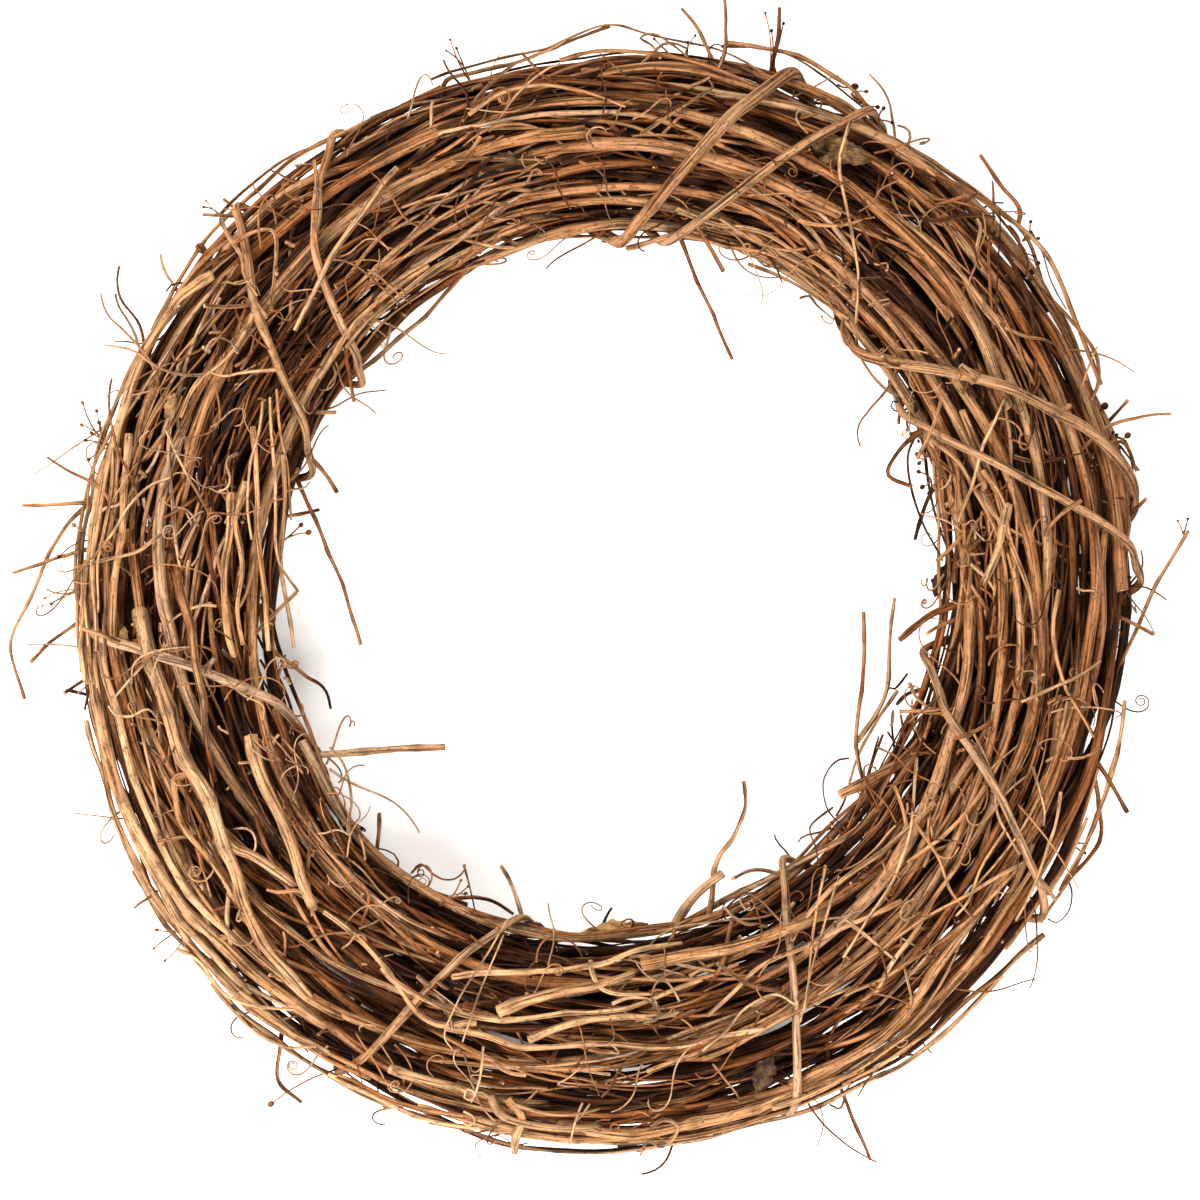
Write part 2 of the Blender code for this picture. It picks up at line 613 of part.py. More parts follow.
def grow():
    """Every stem of the wreath, by node: the first of each node is the one that the rest grow from."""
    rng = np.random.default_rng(SEED)
    bundle = wind(rng)
    for rounds, stiffness, spare, levelled in SETTLING:
        settle(bundle, rounds, stiffness, spare)
        if levelled:
            level_bed(bundle)
    points = to_world(bundle.angle, bundle.place)
    stems, owners, names = [], [], []
    for number in range(bundle.count()):
        part = slice(bundle.first[number], bundle.first[number + 1])
        sides = 6 if number < len(FACE_CANES) else 4
        stems.append(Stem(points[part], bundle.radius[part], sides))
        owners.append(number)
        names.append(f"face_cane_{number + 1}" if sides == 6 else f"cane_{number + 1 - len(FACE_CANES):02d}")
    canes = Runs(stems)
    for number, (radius, pixels) in enumerate(BINDING_VINES):
        stems.append(binding_vine(radius, pixels, canes, Runs(stems)))
        owners.append(len(names))
        names.append(f"binding_vine_{number + 1:02d}")
    for radius, pixels in LIMBS:
        stem, parent = limb(stems, radius, pixels)
        stems.append(stem)
        owners.append(owners[parent])
    for radius, level, pixels in SHOOTS:
        stem, parent = side_shoot(stems, radius, level, pixels)
        if stem is not None:
            stems.append(stem)
            owners.append(owners[parent])
    grown = len(stems)
    for _ in range(TENDRIL_TRIES):
        stem, parent = tendril(stems, Runs(stems), rng)
        if stem is not None and parent < len(names):
            stems.append(stem)
            owners.append(owners[parent])
        if len(stems) == grown + TENDRILS:
            break
    return stems, owners, names


def wood(name, colour):
    """Dry bark, matt, of one colour."""
    material = bpy.data.materials.new(name)
    material.use_nodes = True
    shader = material.node_tree.nodes["Principled BSDF"]
    shader.inputs["Base Color"].default_value = (*colour, 1)
    shader.inputs["Roughness"].default_value = 0.8
    shader.inputs["Metallic"].default_value = 0
    return material


def tube(name, stem, collection):
    """A closed tube along a stem: a bevelled curve, made a mesh with its end caps welded on."""
    curve = bpy.data.curves.new(name, "CURVE")
    curve.dimensions = "3D"
    curve.bevel_depth = stem.radius[0]
    curve.bevel_resolution = (stem.sides - 4) // 2
    curve.use_fill_caps = True
    spline = curve.splines.new("POLY")
    spline.points.add(len(stem.points) - 1)
    for point, place, radius in zip(spline.points, stem.points, stem.radius):
        point.co = (*place, 1)
        point.radius = radius / stem.radius[0]
    line = bpy.data.objects.new(name + "_line", curve)
    collection.objects.link(line)
    mesh = bpy.data.meshes.new_from_object(line.evaluated_get(bpy.context.evaluated_depsgraph_get()))
    mesh.name = name
    edit = bmesh.new()
    edit.from_mesh(mesh)
    bmesh.ops.remove_doubles(edit, verts=edit.verts, dist=WELD)
    edit.to_mesh(mesh)
    edit.free()
    piece = bpy.data.objects.new(name, mesh)
    piece.matrix_world = line.matrix_world
    collection.objects.link(piece)
    bpy.data.objects.remove(line)
    bpy.data.curves.remove(curve)
    return piece


def fuse(piece, shoots):
    """Join the shoots in that collection to the stem that they grow from."""
    union = piece.modifiers.new("grown together", "BOOLEAN")
    union.operation = "UNION"
    union.operand_type = "COLLECTION"
    union.collection = shoots
    union.solver = "EXACT"
    joined = bpy.data.meshes.new_from_object(piece.evaluated_get(bpy.context.evaluated_depsgraph_get()))
    piece.modifiers.clear()
    old = piece.data
    joined.name = old.name
    piece.data = joined
    bpy.data.meshes.remove(old)


def flatten_underside(piece):
    """Cut the piece off flat where it lies on the table."""
    edit = bmesh.new()
    edit.from_mesh(piece.data)
    everything = edit.verts[:] + edit.edges[:] + edit.faces[:]
    bmesh.ops.bisect_plane(edit, geom=everything, plane_co=(0, 0, 0), plane_no=(0, 0, -1), clear_outer=True)
    bmesh.ops.holes_fill(edit, edges=edit.edges[:])
    bmesh.ops.recalc_face_normals(edit, faces=edit.faces[:])
    edit.to_mesh(piece.data)
    edit.free()


def build():
    """Make every node: a cane or a vine, with the shoots that grow from it."""
    for old in list(bpy.data.objects):
        bpy.data.objects.remove(old)
    wreath = bpy.data.collections.new("grapevine_wreath")
    bpy.context.scene.collection.children.link(wreath)
    colours = {
        "face_cane": wood("thick_cane", (0.33, 0.17, 0.08)),
        "cane": wood("cane", (0.26, 0.14, 0.07)),
        "binding_vine": wood("binding_vine", (0.34, 0.22, 0.13)),
    }
    stems, owners, names = grow()
    for number, name in enumerate(names):
        own = [stem for stem, owner in zip(stems, owners) if owner == number]
        piece = tube(name, own[0], wreath)
        if len(own) > 1:
            shoots = bpy.data.collections.new(name + "_shoots")
            bpy.context.scene.collection.children.link(shoots)
            for count, stem in enumerate(own[1:]):
                tube(f"{name}_shoot_{count}", stem, shoots)
            fuse(piece, shoots)
            for shoot in list(shoots.objects):
                bpy.data.objects.remove(shoot)
            bpy.data.collections.remove(shoots)
        if name.startswith("binding"):
            flatten_underside(piece)
        kind = name.rstrip("0123456789").rstrip("_")
        piece.data.materials.append(colours[kind])
        piece.data.shade_smooth()
        piece.data.set_sharp_from_angle(angle=SHARP)


build()
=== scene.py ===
"""A grapevine wreath: dry canes wound into a ring, lashed by binding vines, with wild tendrils.

The sections follow the wreath as it is made: the canes are wound, binding vines hold them, side
shoots are left on, thin canes fill the ring, and tendrils, twigs, strands, berries and scraps of
leaf lie over it.
"""

import math

import bpy
import numpy as np
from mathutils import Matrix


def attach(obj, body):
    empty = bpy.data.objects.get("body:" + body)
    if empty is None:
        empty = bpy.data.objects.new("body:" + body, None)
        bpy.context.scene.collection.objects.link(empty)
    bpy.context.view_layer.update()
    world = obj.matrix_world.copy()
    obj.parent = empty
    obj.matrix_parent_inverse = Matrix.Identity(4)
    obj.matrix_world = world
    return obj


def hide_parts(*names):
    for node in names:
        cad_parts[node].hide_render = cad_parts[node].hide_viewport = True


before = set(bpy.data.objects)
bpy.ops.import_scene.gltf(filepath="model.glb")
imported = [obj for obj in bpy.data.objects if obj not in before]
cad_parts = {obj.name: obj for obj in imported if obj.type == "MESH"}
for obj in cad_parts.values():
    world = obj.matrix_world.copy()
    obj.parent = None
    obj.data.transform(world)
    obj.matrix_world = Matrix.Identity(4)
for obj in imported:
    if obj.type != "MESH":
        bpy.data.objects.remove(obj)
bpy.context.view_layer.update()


# Wound canes. Long dry grapevine stems, each wound once or twice round the ring with its ends
# tucked in. The bundle is slightly oval, and thickest at the bottom. Thick canes lie on the face.

# The ring. Its outside is that of an 18 inch wreath, and the rest is in the same proportion.
OUTER_DIAMETER = 0.457
RING_RADIUS = 0.1843
HALF_WIDTH = 0.0412
HALF_HEIGHT = 0.0330
OVALNESS = (-0.0223, 0.0143)
THICKER_LEFT = -0.038
THICKER_BELOW = -0.125

# The photograph's scale: the wound ring is this many pixels across, round this pixel.
RING_PIXELS = 1095
PIXEL = OUTER_DIAMETER / RING_PIXELS
CENTRE_PIXEL = (608, 590)

# Wound canes. Each has a point at every step round the ring, and thins from butt to tip.
STEPS_PER_TURN = 28
STEP = 2 * math.pi / STEPS_PER_TURN
CANE_TURNS = 36
LEAST_LEFT = 0.5
SHORTEST_TURNS = 1.05
LONGEST_TURNS = 1.75
BUTT_RADIUS = (0.0027, 0.0034)
TIP_SHARE = 0.62
SEED = 11

# The lane of a wound cane: how far out it lies as a share of the section, how it drifts round the
# section as it goes round the ring, and how it sways about that.
OUTMOST_LANE = 0.97
INMOST_LANE = 0.05
LANE_SPREAD = 0.80
LANE_CYCLE = 17
LANE_STRIDE = 7
LANE_CROWDING = 1.6
OUTER_LANES = 0.75
DRIFT = 0.30
SWAY = 0.45
DEPTH_SWAY = 0.18
SWAY_WAVES = (1.5, 3.5)
START_SCATTER = 0.4
PHASE_SPAN = 6.3

# Settling, in order: rounds, stiffness of the canes, spare room, and if the bed is levelled after.
SETTLING = (
    (120, 0.04, 0.0050, False),
    (60, 0.08, 0.0002, True),
    (50, 0.03, 0.0002, True),
    (60, 0, 0.0001, False),
)
PUSH = 1.1
CROWDED_PUSH = 0.6
PULL_BACK = 0.3
PAIR_REACH = 0.75

# Clear space between two stems that touch, the room under the canes for the binding vines, and
# how deep the vines' undersides are flattened where they lie on the table.
CLEARANCE = 0.0004
BED = 0.0064
FLATTENED = 0.0009

# Thick canes on the face: butt radius, and the pixels that each passes over, x and y in turn.
FACE_CANES = (
    (0.0034, (330, 185, 215, 400, 152, 560, 165, 680, 210, 780, 243, 850, 300, 965)),
    (0.0034, (340, 1040, 480, 1085, 620, 1116, 720, 1105, 830, 1078, 900, 1010, 965, 945)),
    (0.0030, (870, 195, 760, 122, 640, 92, 530, 96, 400, 148, 275, 235)),
    (0.0030, (455, 965, 560, 968, 640, 962, 740, 928, 850, 855)),
    (0.0030, (1062, 800, 1102, 680, 1105, 560, 1062, 420, 985, 290)),
    (0.0028, (395, 290, 300, 420, 262, 560, 268, 690, 330, 830)),
)

# How a face cane dives into the bundle before and after those pixels: the angle of the dive, the
# turn and depth of its lane there, and how far it runs on inside.
DIVE = (0.5, 0.9)
DIVE_TURN = 0.4
DIVE_TURNS_AFTER = (-0.5, -1.2, -2.0)
DIVE_DEPTH = 0.75
FACE_DEPTH = 0.99
FACE_EDGE = 0.97
DEPTHS_AFTER = (0.75, 0.6, 0.5)
BURIED_RUN = (2.2, 4.2)
FACE_CANE_WEIGHT = 8.0


def ring_radius(angle):
    """The radius of the bundle's middle line, slightly oval."""
    bulge = OVALNESS[0] * np.cos(2 * angle) + OVALNESS[1] * np.sin(2 * angle)
    return RING_RADIUS * (1 + bulge)


def half_size(angle):
    """Half the width and half the height of the bundle's section at that angle."""
    share = 1 + THICKER_LEFT * np.cos(angle) + THICKER_BELOW * np.sin(angle)
    return np.stack([HALF_WIDTH * share, HALF_HEIGHT * share], axis=-1)


def to_world(angle, place):
    """A place in the section at that angle, (across, up), as a point of the model."""
    radius = ring_radius(angle) + place[..., 0]
    height = BED + BUTT_RADIUS[0] + half_size(angle)[..., 1] + place[..., 1]
    return np.stack([radius * np.cos(angle), radius * np.sin(angle), height], axis=-1)


def on_plan(pixels):
    """The x and y in the model of pixels of the photograph, in pairs or with x and y in turn."""
    return (np.reshape(pixels, (-1, 2)) - CENTRE_PIXEL) * [PIXEL, -PIXEL]


def from_pixels(pixels):
    """The angle round the ring, and the distance across the band, of pixels of the photograph."""
    points = on_plan(pixels)
    angle = np.unwrap(np.arctan2(points[:, 1], points[:, 0]))
    return angle, np.hypot(points[:, 0], points[:, 1]) - ring_radius(angle)


class Bundle:
    """Wound canes, as places in the sections of the ring, joined by straight runs."""

    def __init__(self):
        self.angle = np.zeros(0)
        self.place = np.zeros((0, 2))
        self.radius = np.zeros(0)
        self.weight = np.zeros(0)
        self.first = [0]

    def add(self, angle, place, radius, weight):
        self.angle = np.concatenate([self.angle, angle])
        self.place = np.concatenate([self.place, place])
        self.radius = np.concatenate([self.radius, radius])
        self.weight = np.concatenate([self.weight, np.full(len(angle), weight)])
        self.first.append(len(self.angle))

    def count(self):
        return len(self.first) - 1

    def run_starts(self):
        """The first point of every straight run, and the cane that it belongs to."""
        starts = [np.arange(self.first[c], self.first[c + 1] - 1) for c in range(self.count())]
        owner = [np.full(len(s), c) for c, s in enumerate(starts)]
        return np.concatenate(starts), np.concatenate(owner)


def closest(start_a, end_a, start_b, end_b):
    """How far along two straight runs, from 0 to 1, they come closest to each other."""
    along_a = end_a - start_a
    along_b = end_b - start_b
    between = start_a - start_b
    aa = (along_a * along_a).sum(-1)
    bb = (along_b * along_b).sum(-1)
    ab = (along_a * along_b).sum(-1)
    a_between = (along_a * between).sum(-1)
    b_between = (along_b * between).sum(-1)
    spread = np.maximum(aa * bb - ab * ab, 1e-18)
    share_a = np.clip((ab * b_between - a_between * bb) / spread, 0, 1)
    share_b = np.clip((ab * share_a + b_between) / bb, 0, 1)
    share_a = np.clip((ab * share_b - a_between) / aa, 0, 1)
    return share_a, share_b


def near_pairs(bundle, points, within):
    """Pairs of runs that lie within that distance, but aren't neighbours on one cane."""
    starts, owner = bundle.run_starts()
    middle = (points[starts] + points[starts + 1]) / 2
    turned = np.mod(np.arctan2(middle[:, 1], middle[:, 0]), 2 * math.pi)
    sector = np.floor(turned / STEP).astype(int)
    first, second = [], []
    for number in range(STEPS_PER_TURN):
        here = np.nonzero(sector == number)[0]
        after = np.nonzero(sector == (number + 1) % STEPS_PER_TURN)[0]
        one, two = np.triu_indices(len(here), 1)
        grid = np.meshgrid(here, after, indexing="ij")
        first += [here[one], grid[0].ravel()]
        second += [here[two], grid[1].ravel()]
    one = np.concatenate(first)
    two = np.concatenate(second)
    neighbours = (owner[one] == owner[two]) & (np.abs(starts[one] - starts[two]) <= 1)
    apart = np.linalg.norm(bundle.place[starts[one]] - bundle.place[starts[two]], axis=1)
    keep = ~neighbours & (apart < within)
    return starts[one[keep]], starts[two[keep]]


def settle(bundle, rounds, stiffness, spare, within=PAIR_REACH * HALF_WIDTH, held=0):
    """Push canes apart where they touch, and let them straighten where they are free.

    The first points stay where they are: as many as are held.
    """
    fixed = bundle.place[:held].copy()
    count = len(bundle.angle)
    radial = np.stack([np.cos(bundle.angle), np.sin(bundle.angle)], axis=1)
    inner = np.setdiff1d(np.arange(count), bundle.first[:-1] + [n - 1 for n in bundle.first[1:]])
    scale = half_size(bundle.angle)
    for number in range(rounds):
        points = to_world(bundle.angle, bundle.place)
        if number % 10 == 0:
            one, two = near_pairs(bundle, points, within)
        share_one, share_two = closest(points[one], points[one + 1], points[two], points[two + 1])
        at_one = points[one] + share_one[:, None] * (points[one + 1] - points[one])
        at_two = points[two] + share_two[:, None] * (points[two + 1] - points[two])
        gap = at_one - at_two
        distance = np.maximum(np.linalg.norm(gap, axis=1), 1e-6)
        reach = np.maximum(bundle.radius[one], bundle.radius[one + 1])
        reach += np.maximum(bundle.radius[two], bundle.radius[two + 1])
        lack = np.maximum(0, reach + CLEARANCE + spare - distance)
        total = bundle.weight[one] + bundle.weight[two]
        move = np.zeros((count, 2))
        hits = np.zeros(count)
        for run, share, side, other in ((one, share_one, 1, two), (two, share_two, -1, one)):
            part = bundle.weight[other] / total
            vector = gap * (side * part * lack / distance)[:, None]
            outward = (vector[:, :2] * radial[run]).sum(1)
            for end, amount in ((run, 1 - share), (run + 1, share)):
                move[:, 0] += np.bincount(end, outward * amount, count)
                move[:, 1] += np.bincount(end, vector[:, 2] * amount, count)
                hits += np.bincount(end, (lack > 0) * amount, count)
        bundle.place += PUSH * move / np.maximum(1, CROWDED_PUSH * hits)[:, None]
        height = to_world(bundle.angle, bundle.place)[:, 2] - bundle.radius
        bundle.place[:, 1] += np.maximum(0, BED - height)
        if stiffness:
            ease = (bundle.place[inner - 1] + bundle.place[inner + 1]) / 2 - bundle.place[inner]
            bundle.place[inner] += stiffness * ease
            out = np.linalg.norm(bundle.place / scale, axis=1)
            over = np.maximum(0, out - 1) / np.maximum(out, 1e-9)
            bundle.place -= PULL_BACK * bundle.place * over[:, None]
        bundle.place[:held] = fixed


def slow_wave(way, rng):
    """A sine wave along the way, of random length and phase."""
    return np.sin(rng.uniform(*SWAY_WAVES) * way + rng.uniform(0, PHASE_SPAN))


def wind(rng):
    """The canes' first places: lanes that drift across the section as they go round."""
    bundle = Bundle()
    for butt, pixels in FACE_CANES:
        add_face_cane(bundle, butt, pixels, rng)
    golden = math.pi * (3 - math.sqrt(5))
    turns_left = CANE_TURNS
    start = 0.0
    number = 0
    while turns_left > LEAST_LEFT:
        turns = min(rng.uniform(SHORTEST_TURNS, LONGEST_TURNS), turns_left)
        turns_left -= turns
        way = np.arange(int(round(turns * STEPS_PER_TURN)) + 1) * STEP
        angle = start + way
        lane_share = ((number * LANE_STRIDE) % LANE_CYCLE) / LANE_CYCLE
        share = OUTMOST_LANE - LANE_SPREAD * lane_share ** LANE_CROWDING
        sway = SWAY * slow_wave(way, rng)
        turned = number * golden + (DRIFT if share > OUTER_LANES else -DRIFT) * way + sway
        depth = share + DEPTH_SWAY * slow_wave(way, rng)
        depth = np.clip(depth, INMOST_LANE, 1.0)[:, None]
        lane = np.stack([np.cos(turned), np.sin(turned)], axis=1)
        radius = rng.uniform(*BUTT_RADIUS) * np.linspace(1, TIP_SHARE, len(way))
        bundle.add(angle, depth * lane * half_size(angle), radius, 1.0)
        start += turns * 2 * math.pi + rng.uniform(-START_SCATTER, START_SCATTER)
        number += 1
    return bundle


def add_face_cane(bundle, butt, pixels, rng):
    """A thick cane that passes over the given pixels of the face, then dives into the bundle."""
    angle, across = from_pixels(pixels)
    if angle[0] > angle[-1]:
        angle = angle[::-1]
        across = across[::-1]
    turned = np.arccos(np.clip(across / half_size(angle)[:, 0], -FACE_EDGE, FACE_EDGE))
    dive = rng.uniform(*DIVE)
    keys = np.concatenate([[angle[0] - dive], angle, angle[-1] + [dive, 2 * dive, 2 * math.pi]])
    lanes = np.concatenate([[turned[0] + DIVE_TURN], turned, turned[-1] + DIVE_TURNS_AFTER])
    depths = np.concatenate([[DIVE_DEPTH], np.full(len(angle), FACE_DEPTH), DEPTHS_AFTER])
    steps = int(round((angle[-1] - angle[0] + dive + rng.uniform(*BURIED_RUN)) / STEP))
    at = angle[0] - dive + np.arange(steps + 1) * STEP
    lane = np.interp(at, keys, lanes)
    depth = np.interp(at, keys, depths)[:, None]
    place = depth * np.stack([np.cos(lane), np.sin(lane)], axis=1) * half_size(at)
    bundle.add(at, place, butt * np.linspace(1, TIP_SHARE, len(at)), FACE_CANE_WEIGHT)


def level_bed(bundle):
    """Shift each section up or down, so that the undermost canes lie about level all round."""
    height = to_world(bundle.angle, bundle.place)[:, 2] - bundle.radius
    turned = np.mod(bundle.angle, 2 * math.pi)
    ways = np.arange(STEPS_PER_TURN) * STEP
    lowest = np.zeros(STEPS_PER_TURN)
    for number, way in enumerate(ways):
        apart = np.abs(np.mod(turned - way + math.pi, 2 * math.pi) - math.pi)
        lowest[number] = height[apart < STEP].min()
    for _ in range(2):
        lowest = (np.roll(lowest, 1) + 2 * lowest + np.roll(lowest, -1)) / 4
    bundle.place[:, 1] -= np.interp(turned, ways, lowest, period=2 * math.pi) - BED


class Stem:
    """A round stem: the points of its middle line, and its radius at each."""

    def __init__(self, points, radius):
        self.points = np.array(points, float)
        self.radius = np.broadcast_to(radius, len(self.points)).astype(float)


def wound_stems(numbers):
    """The canes of the bundle with those numbers, as stems of the model."""
    points = to_world(bundle.angle, bundle.place)
    parts = [slice(bundle.first[n], bundle.first[n + 1]) for n in numbers]
    return [Stem(points[part], bundle.radius[part]) for part in parts]


# The first places of the canes, and the paths that they take once they have settled.
draws = np.random.default_rng(SEED)
bundle = wind(draws)
for rounds, stiffness, spare, levelled in SETTLING:
    settle(bundle, rounds, stiffness, spare)
    if levelled:
        level_bed(bundle)
stems = wound_stems(range(bundle.count()))
names = [f"face_cane_{number + 1}" for number in range(len(FACE_CANES))]
names += [f"cane_{number + 1:02d}" for number in range(len(stems) - len(names))]
owners = list(range(len(names)))

# The dressed canes: the spacing and sides of their surface, how slim they are beside their solids,
# how far their ends bulge, and how far the tone shifts the grain, so that no two stems match.
CANE_SPACING = 0.0042
CANE_SIDES = 11
FACE_CANE_SIDES = 14
CANE_SLIM = 0.87
SLIMMER_INSIDE = 0.22
FINE_STEPS = 12
BUTT_BULGE = 0.2
TIP_BULGE = 0.3
GRAIN_SHIFT = 7

# How canes grow: their joints, and how they wander and turn, in metres.
JOINT_APART = (0.055, 0.110)
JOINT_TURN = (0.5, 1.3)
JOINT_SWELL = 0.20
JOINT_LENGTH = 0.0035
WANDER_WAVES = (0.17, 0.09, 0.045)
CANE_WANDER = 0.0007
CANE_ZIGZAG = 0.0005
EASED_ENDS = 0.02

# The bark's relief, and its ridges: how many round the stem, how high, and their most twist.
BARK_RELIEF = 0.055
RIDGES = ((1, 0.5, 60), (2, 1.0, 60), (3, 0.7, 60), (4, 0.5, 60), (1, 0.5, 350), (2, 0.6, 350))

# The bark's tones, the depths where painted shade darkens it, and painted light across the wreath.
CANE_TONES = (0.12, 0.95)
FACE_CANE_TONES = (0.5, 0.75)
SHADED_FROM = 0.12
SHADED_TO = 0.62
# Painted shade: the tone drops by this much where the bark lies deep in the bundle.
PAINTED_SHADE_INSIDE = 0.85
# Painted light: the tone falls by this slope times (x, y), so the lower left is paler.
PAINTED_LIGHT_SLOPE = (0.66, 0.48)
UP = np.array([0.0, 0.0, 1.0])


def unit(vectors):
    """The same directions, one unit long."""
    return vectors / np.maximum(np.linalg.norm(vectors, axis=-1, keepdims=True), 1e-12)


def way_along(points):
    """How far along the path through the points each of them is."""
    return np.concatenate([[0], np.cumsum(np.linalg.norm(np.diff(points, axis=0), axis=1))])


def section_middle(points):
    """The middle of the bundle's section at each point."""
    return to_world(np.arctan2(points[:, 1], points[:, 0]), np.zeros((len(points), 2)))


def smooth_line(points, radius, spacing):
    """A smooth curve through the points at an even spacing, and the radius and length along it.

    Between two points it is the cubic that leaves each along the chord of its neighbours.
    """
    ends = np.concatenate([2 * points[:1] - points[1:2], points, 2 * points[-1:] - points[-2:-1]])
    count = len(points) - 1
    at = np.linspace(0, count, FINE_STEPS * count + 1)
    run = np.minimum(at.astype(int), count - 1)
    part = (at - run)[:, None]
    before, start, end, after = ends[run], ends[run + 1], ends[run + 2], ends[run + 3]
    line = start + 0.5 * part * (end - before)
    line += 0.5 * part ** 2 * (2 * before - 5 * start + 4 * end - after)
    line += 0.5 * part ** 3 * (3 * start - before - 3 * end + after)
    way = way_along(line)
    even = np.linspace(0, way[-1], max(4, int(way[-1] / spacing) + 1))
    line = np.stack([np.interp(even, way, line[:, axis]) for axis in range(3)], axis=1)
    thick = np.interp(even, way, np.interp(at, np.arange(count + 1), radius))
    return line, thick, even


def joints_along(length, rng):
    """Where a stem's joints are: at uneven distances, all the way along."""
    apart = rng.uniform(*JOINT_APART, size=int(length / JOINT_APART[0]) + 3)
    return np.cumsum(apart) - apart[0] * rng.uniform()


def ways_at(line, across):
    """The direction along the line at each point, and two that are square to it."""
    tangent = unit(np.gradient(line, axis=0))
    side = unit(np.cross(across, tangent))
    return tangent, side, np.cross(tangent, side)


def grown_line(line, way, across, joints, wander, zigzag, rng):
    """The line as it grew: it turns a little at every joint, and wanders in between.

    The turn is a saw wave through the joints, and the wander three sine waves in each direction.
    """
    _, side, other = ways_at(line, across)
    sway = zigzag * rng.choice([-1, 1]) * np.where(np.arange(len(joints)) % 2, 1, -1)
    sway = sway * rng.uniform(*JOINT_TURN, len(joints))
    offset = np.zeros((len(line), 2))
    offset[:, 0] = np.interp(way, joints, sway)
    for wave in WANDER_WAVES:
        phase = rng.uniform(0, 2 * math.pi, 2)
        share = wander * wave / WANDER_WAVES[0]
        offset += share * np.sin(2 * math.pi * way[:, None] / wave + phase)
    ends = np.minimum(1, np.minimum(way, way[-1] - way) / EASED_ENDS)[:, None]
    return line + ends * (side * offset[:, :1] + other * offset[:, 1:])


def bark_tube(line, radius, across, sides, joints, tone, rng, relief=BARK_RELIEF):
    """The surface of a stem, as arrays: a round profile carried along a line.

    At angle a and length s its radius is that of the stem, times one plus ridges of the form
    cos(n a + f s) and a bell at each joint. The direction across never lies along the line. Each
    end is closed by a fan of faces round one point.
    """
    count = len(line)
    way = way_along(line)
    tangent, side, other = ways_at(line, across)
    turn = np.linspace(0, 2 * math.pi, sides, endpoint=False)
    ridges = np.zeros((count, sides))
    for number, share, most in RIDGES:
        pace, phase = rng.uniform(-most, most), rng.uniform(0, 2 * math.pi)
        ridges += share * np.cos(number * turn + pace * way[:, None] + phase)
    apart = (way[:, None] - joints) / JOINT_LENGTH
    swell = np.exp(-apart ** 2).sum(1) if len(joints) else np.zeros(count)
    reach = radius[:, None] * (1 + relief * ridges + JOINT_SWELL * swell[:, None])
    round_it = side[:, None] * np.cos(turn)[:, None] + other[:, None] * np.sin(turn)[:, None]
    rings = line[:, None] + reach[..., None] * round_it
    butt = line[0] - BUTT_BULGE * radius[0] * tangent[0]
    tip = line[-1] + TIP_BULGE * radius[-1] * tangent[-1]
    points = np.concatenate([rings.reshape(-1, 3), [butt, tip]])
    rim = np.arange(sides)
    next_rim = (rim + 1) % sides
    ring = np.arange(count - 1)[:, None] * sides
    here, after = ring + rim, ring + next_rim
    quads = np.stack([here, after, after + sides, here + sides], axis=-1).reshape(-1, 4)
    last = (count - 1) * sides
    start_fan = np.stack([next_rim, rim, np.full(sides, count * sides)], axis=1)
    end_fan = np.stack([last + rim, last + next_rim, np.full(sides, count * sides + 1)], axis=1)
    grain = np.empty((count, sides, 3))
    grain[..., 0] = way[:, None] + GRAIN_SHIFT * tone
    grain[..., 1] = radius[:, None] * np.cos(turn)
    grain[..., 2] = radius[:, None] * np.sin(turn)
    ends = np.array([[GRAIN_SHIFT * tone, 0, 0], [way[-1] + GRAIN_SHIFT * tone, 0, 0]])
    grain = np.concatenate([grain.reshape(-1, 3), ends])
    knot = np.concatenate([np.repeat(np.clip(swell, 0, 1), sides), [0, 0]])
    cut = np.concatenate([np.zeros(count * sides), [1, 1]])
    return {
        "points": points,
        "quads": quads,
        "fans": np.concatenate([start_fan, end_fan]),
        "grain": grain,
        "tone": np.full(len(points), tone),
        "knot": knot,
        "cut": cut,
    }


def buried(points):
    """How deep points lie below the bundle's face, from 0 near it to 1 well inside.

    With x and z as shares of the section's size, the depth is the root of 1 - x x, less z.
    """
    angle = np.arctan2(points[:, 1], points[:, 0])
    across = (np.hypot(points[:, 0], points[:, 1]) - ring_radius(angle)) / half_size(angle)[:, 0]
    up = (points[:, 2] - section_middle(points)[:, 2]) / half_size(angle)[:, 1]
    depth = np.sqrt(np.clip(1 - across ** 2, 0, 1)) - up
    # The share sets how far painted shade darkens the bark, and how much slimmer canes are inside.
    return np.clip((depth - SHADED_FROM) / (SHADED_TO - SHADED_FROM), 0, 1)


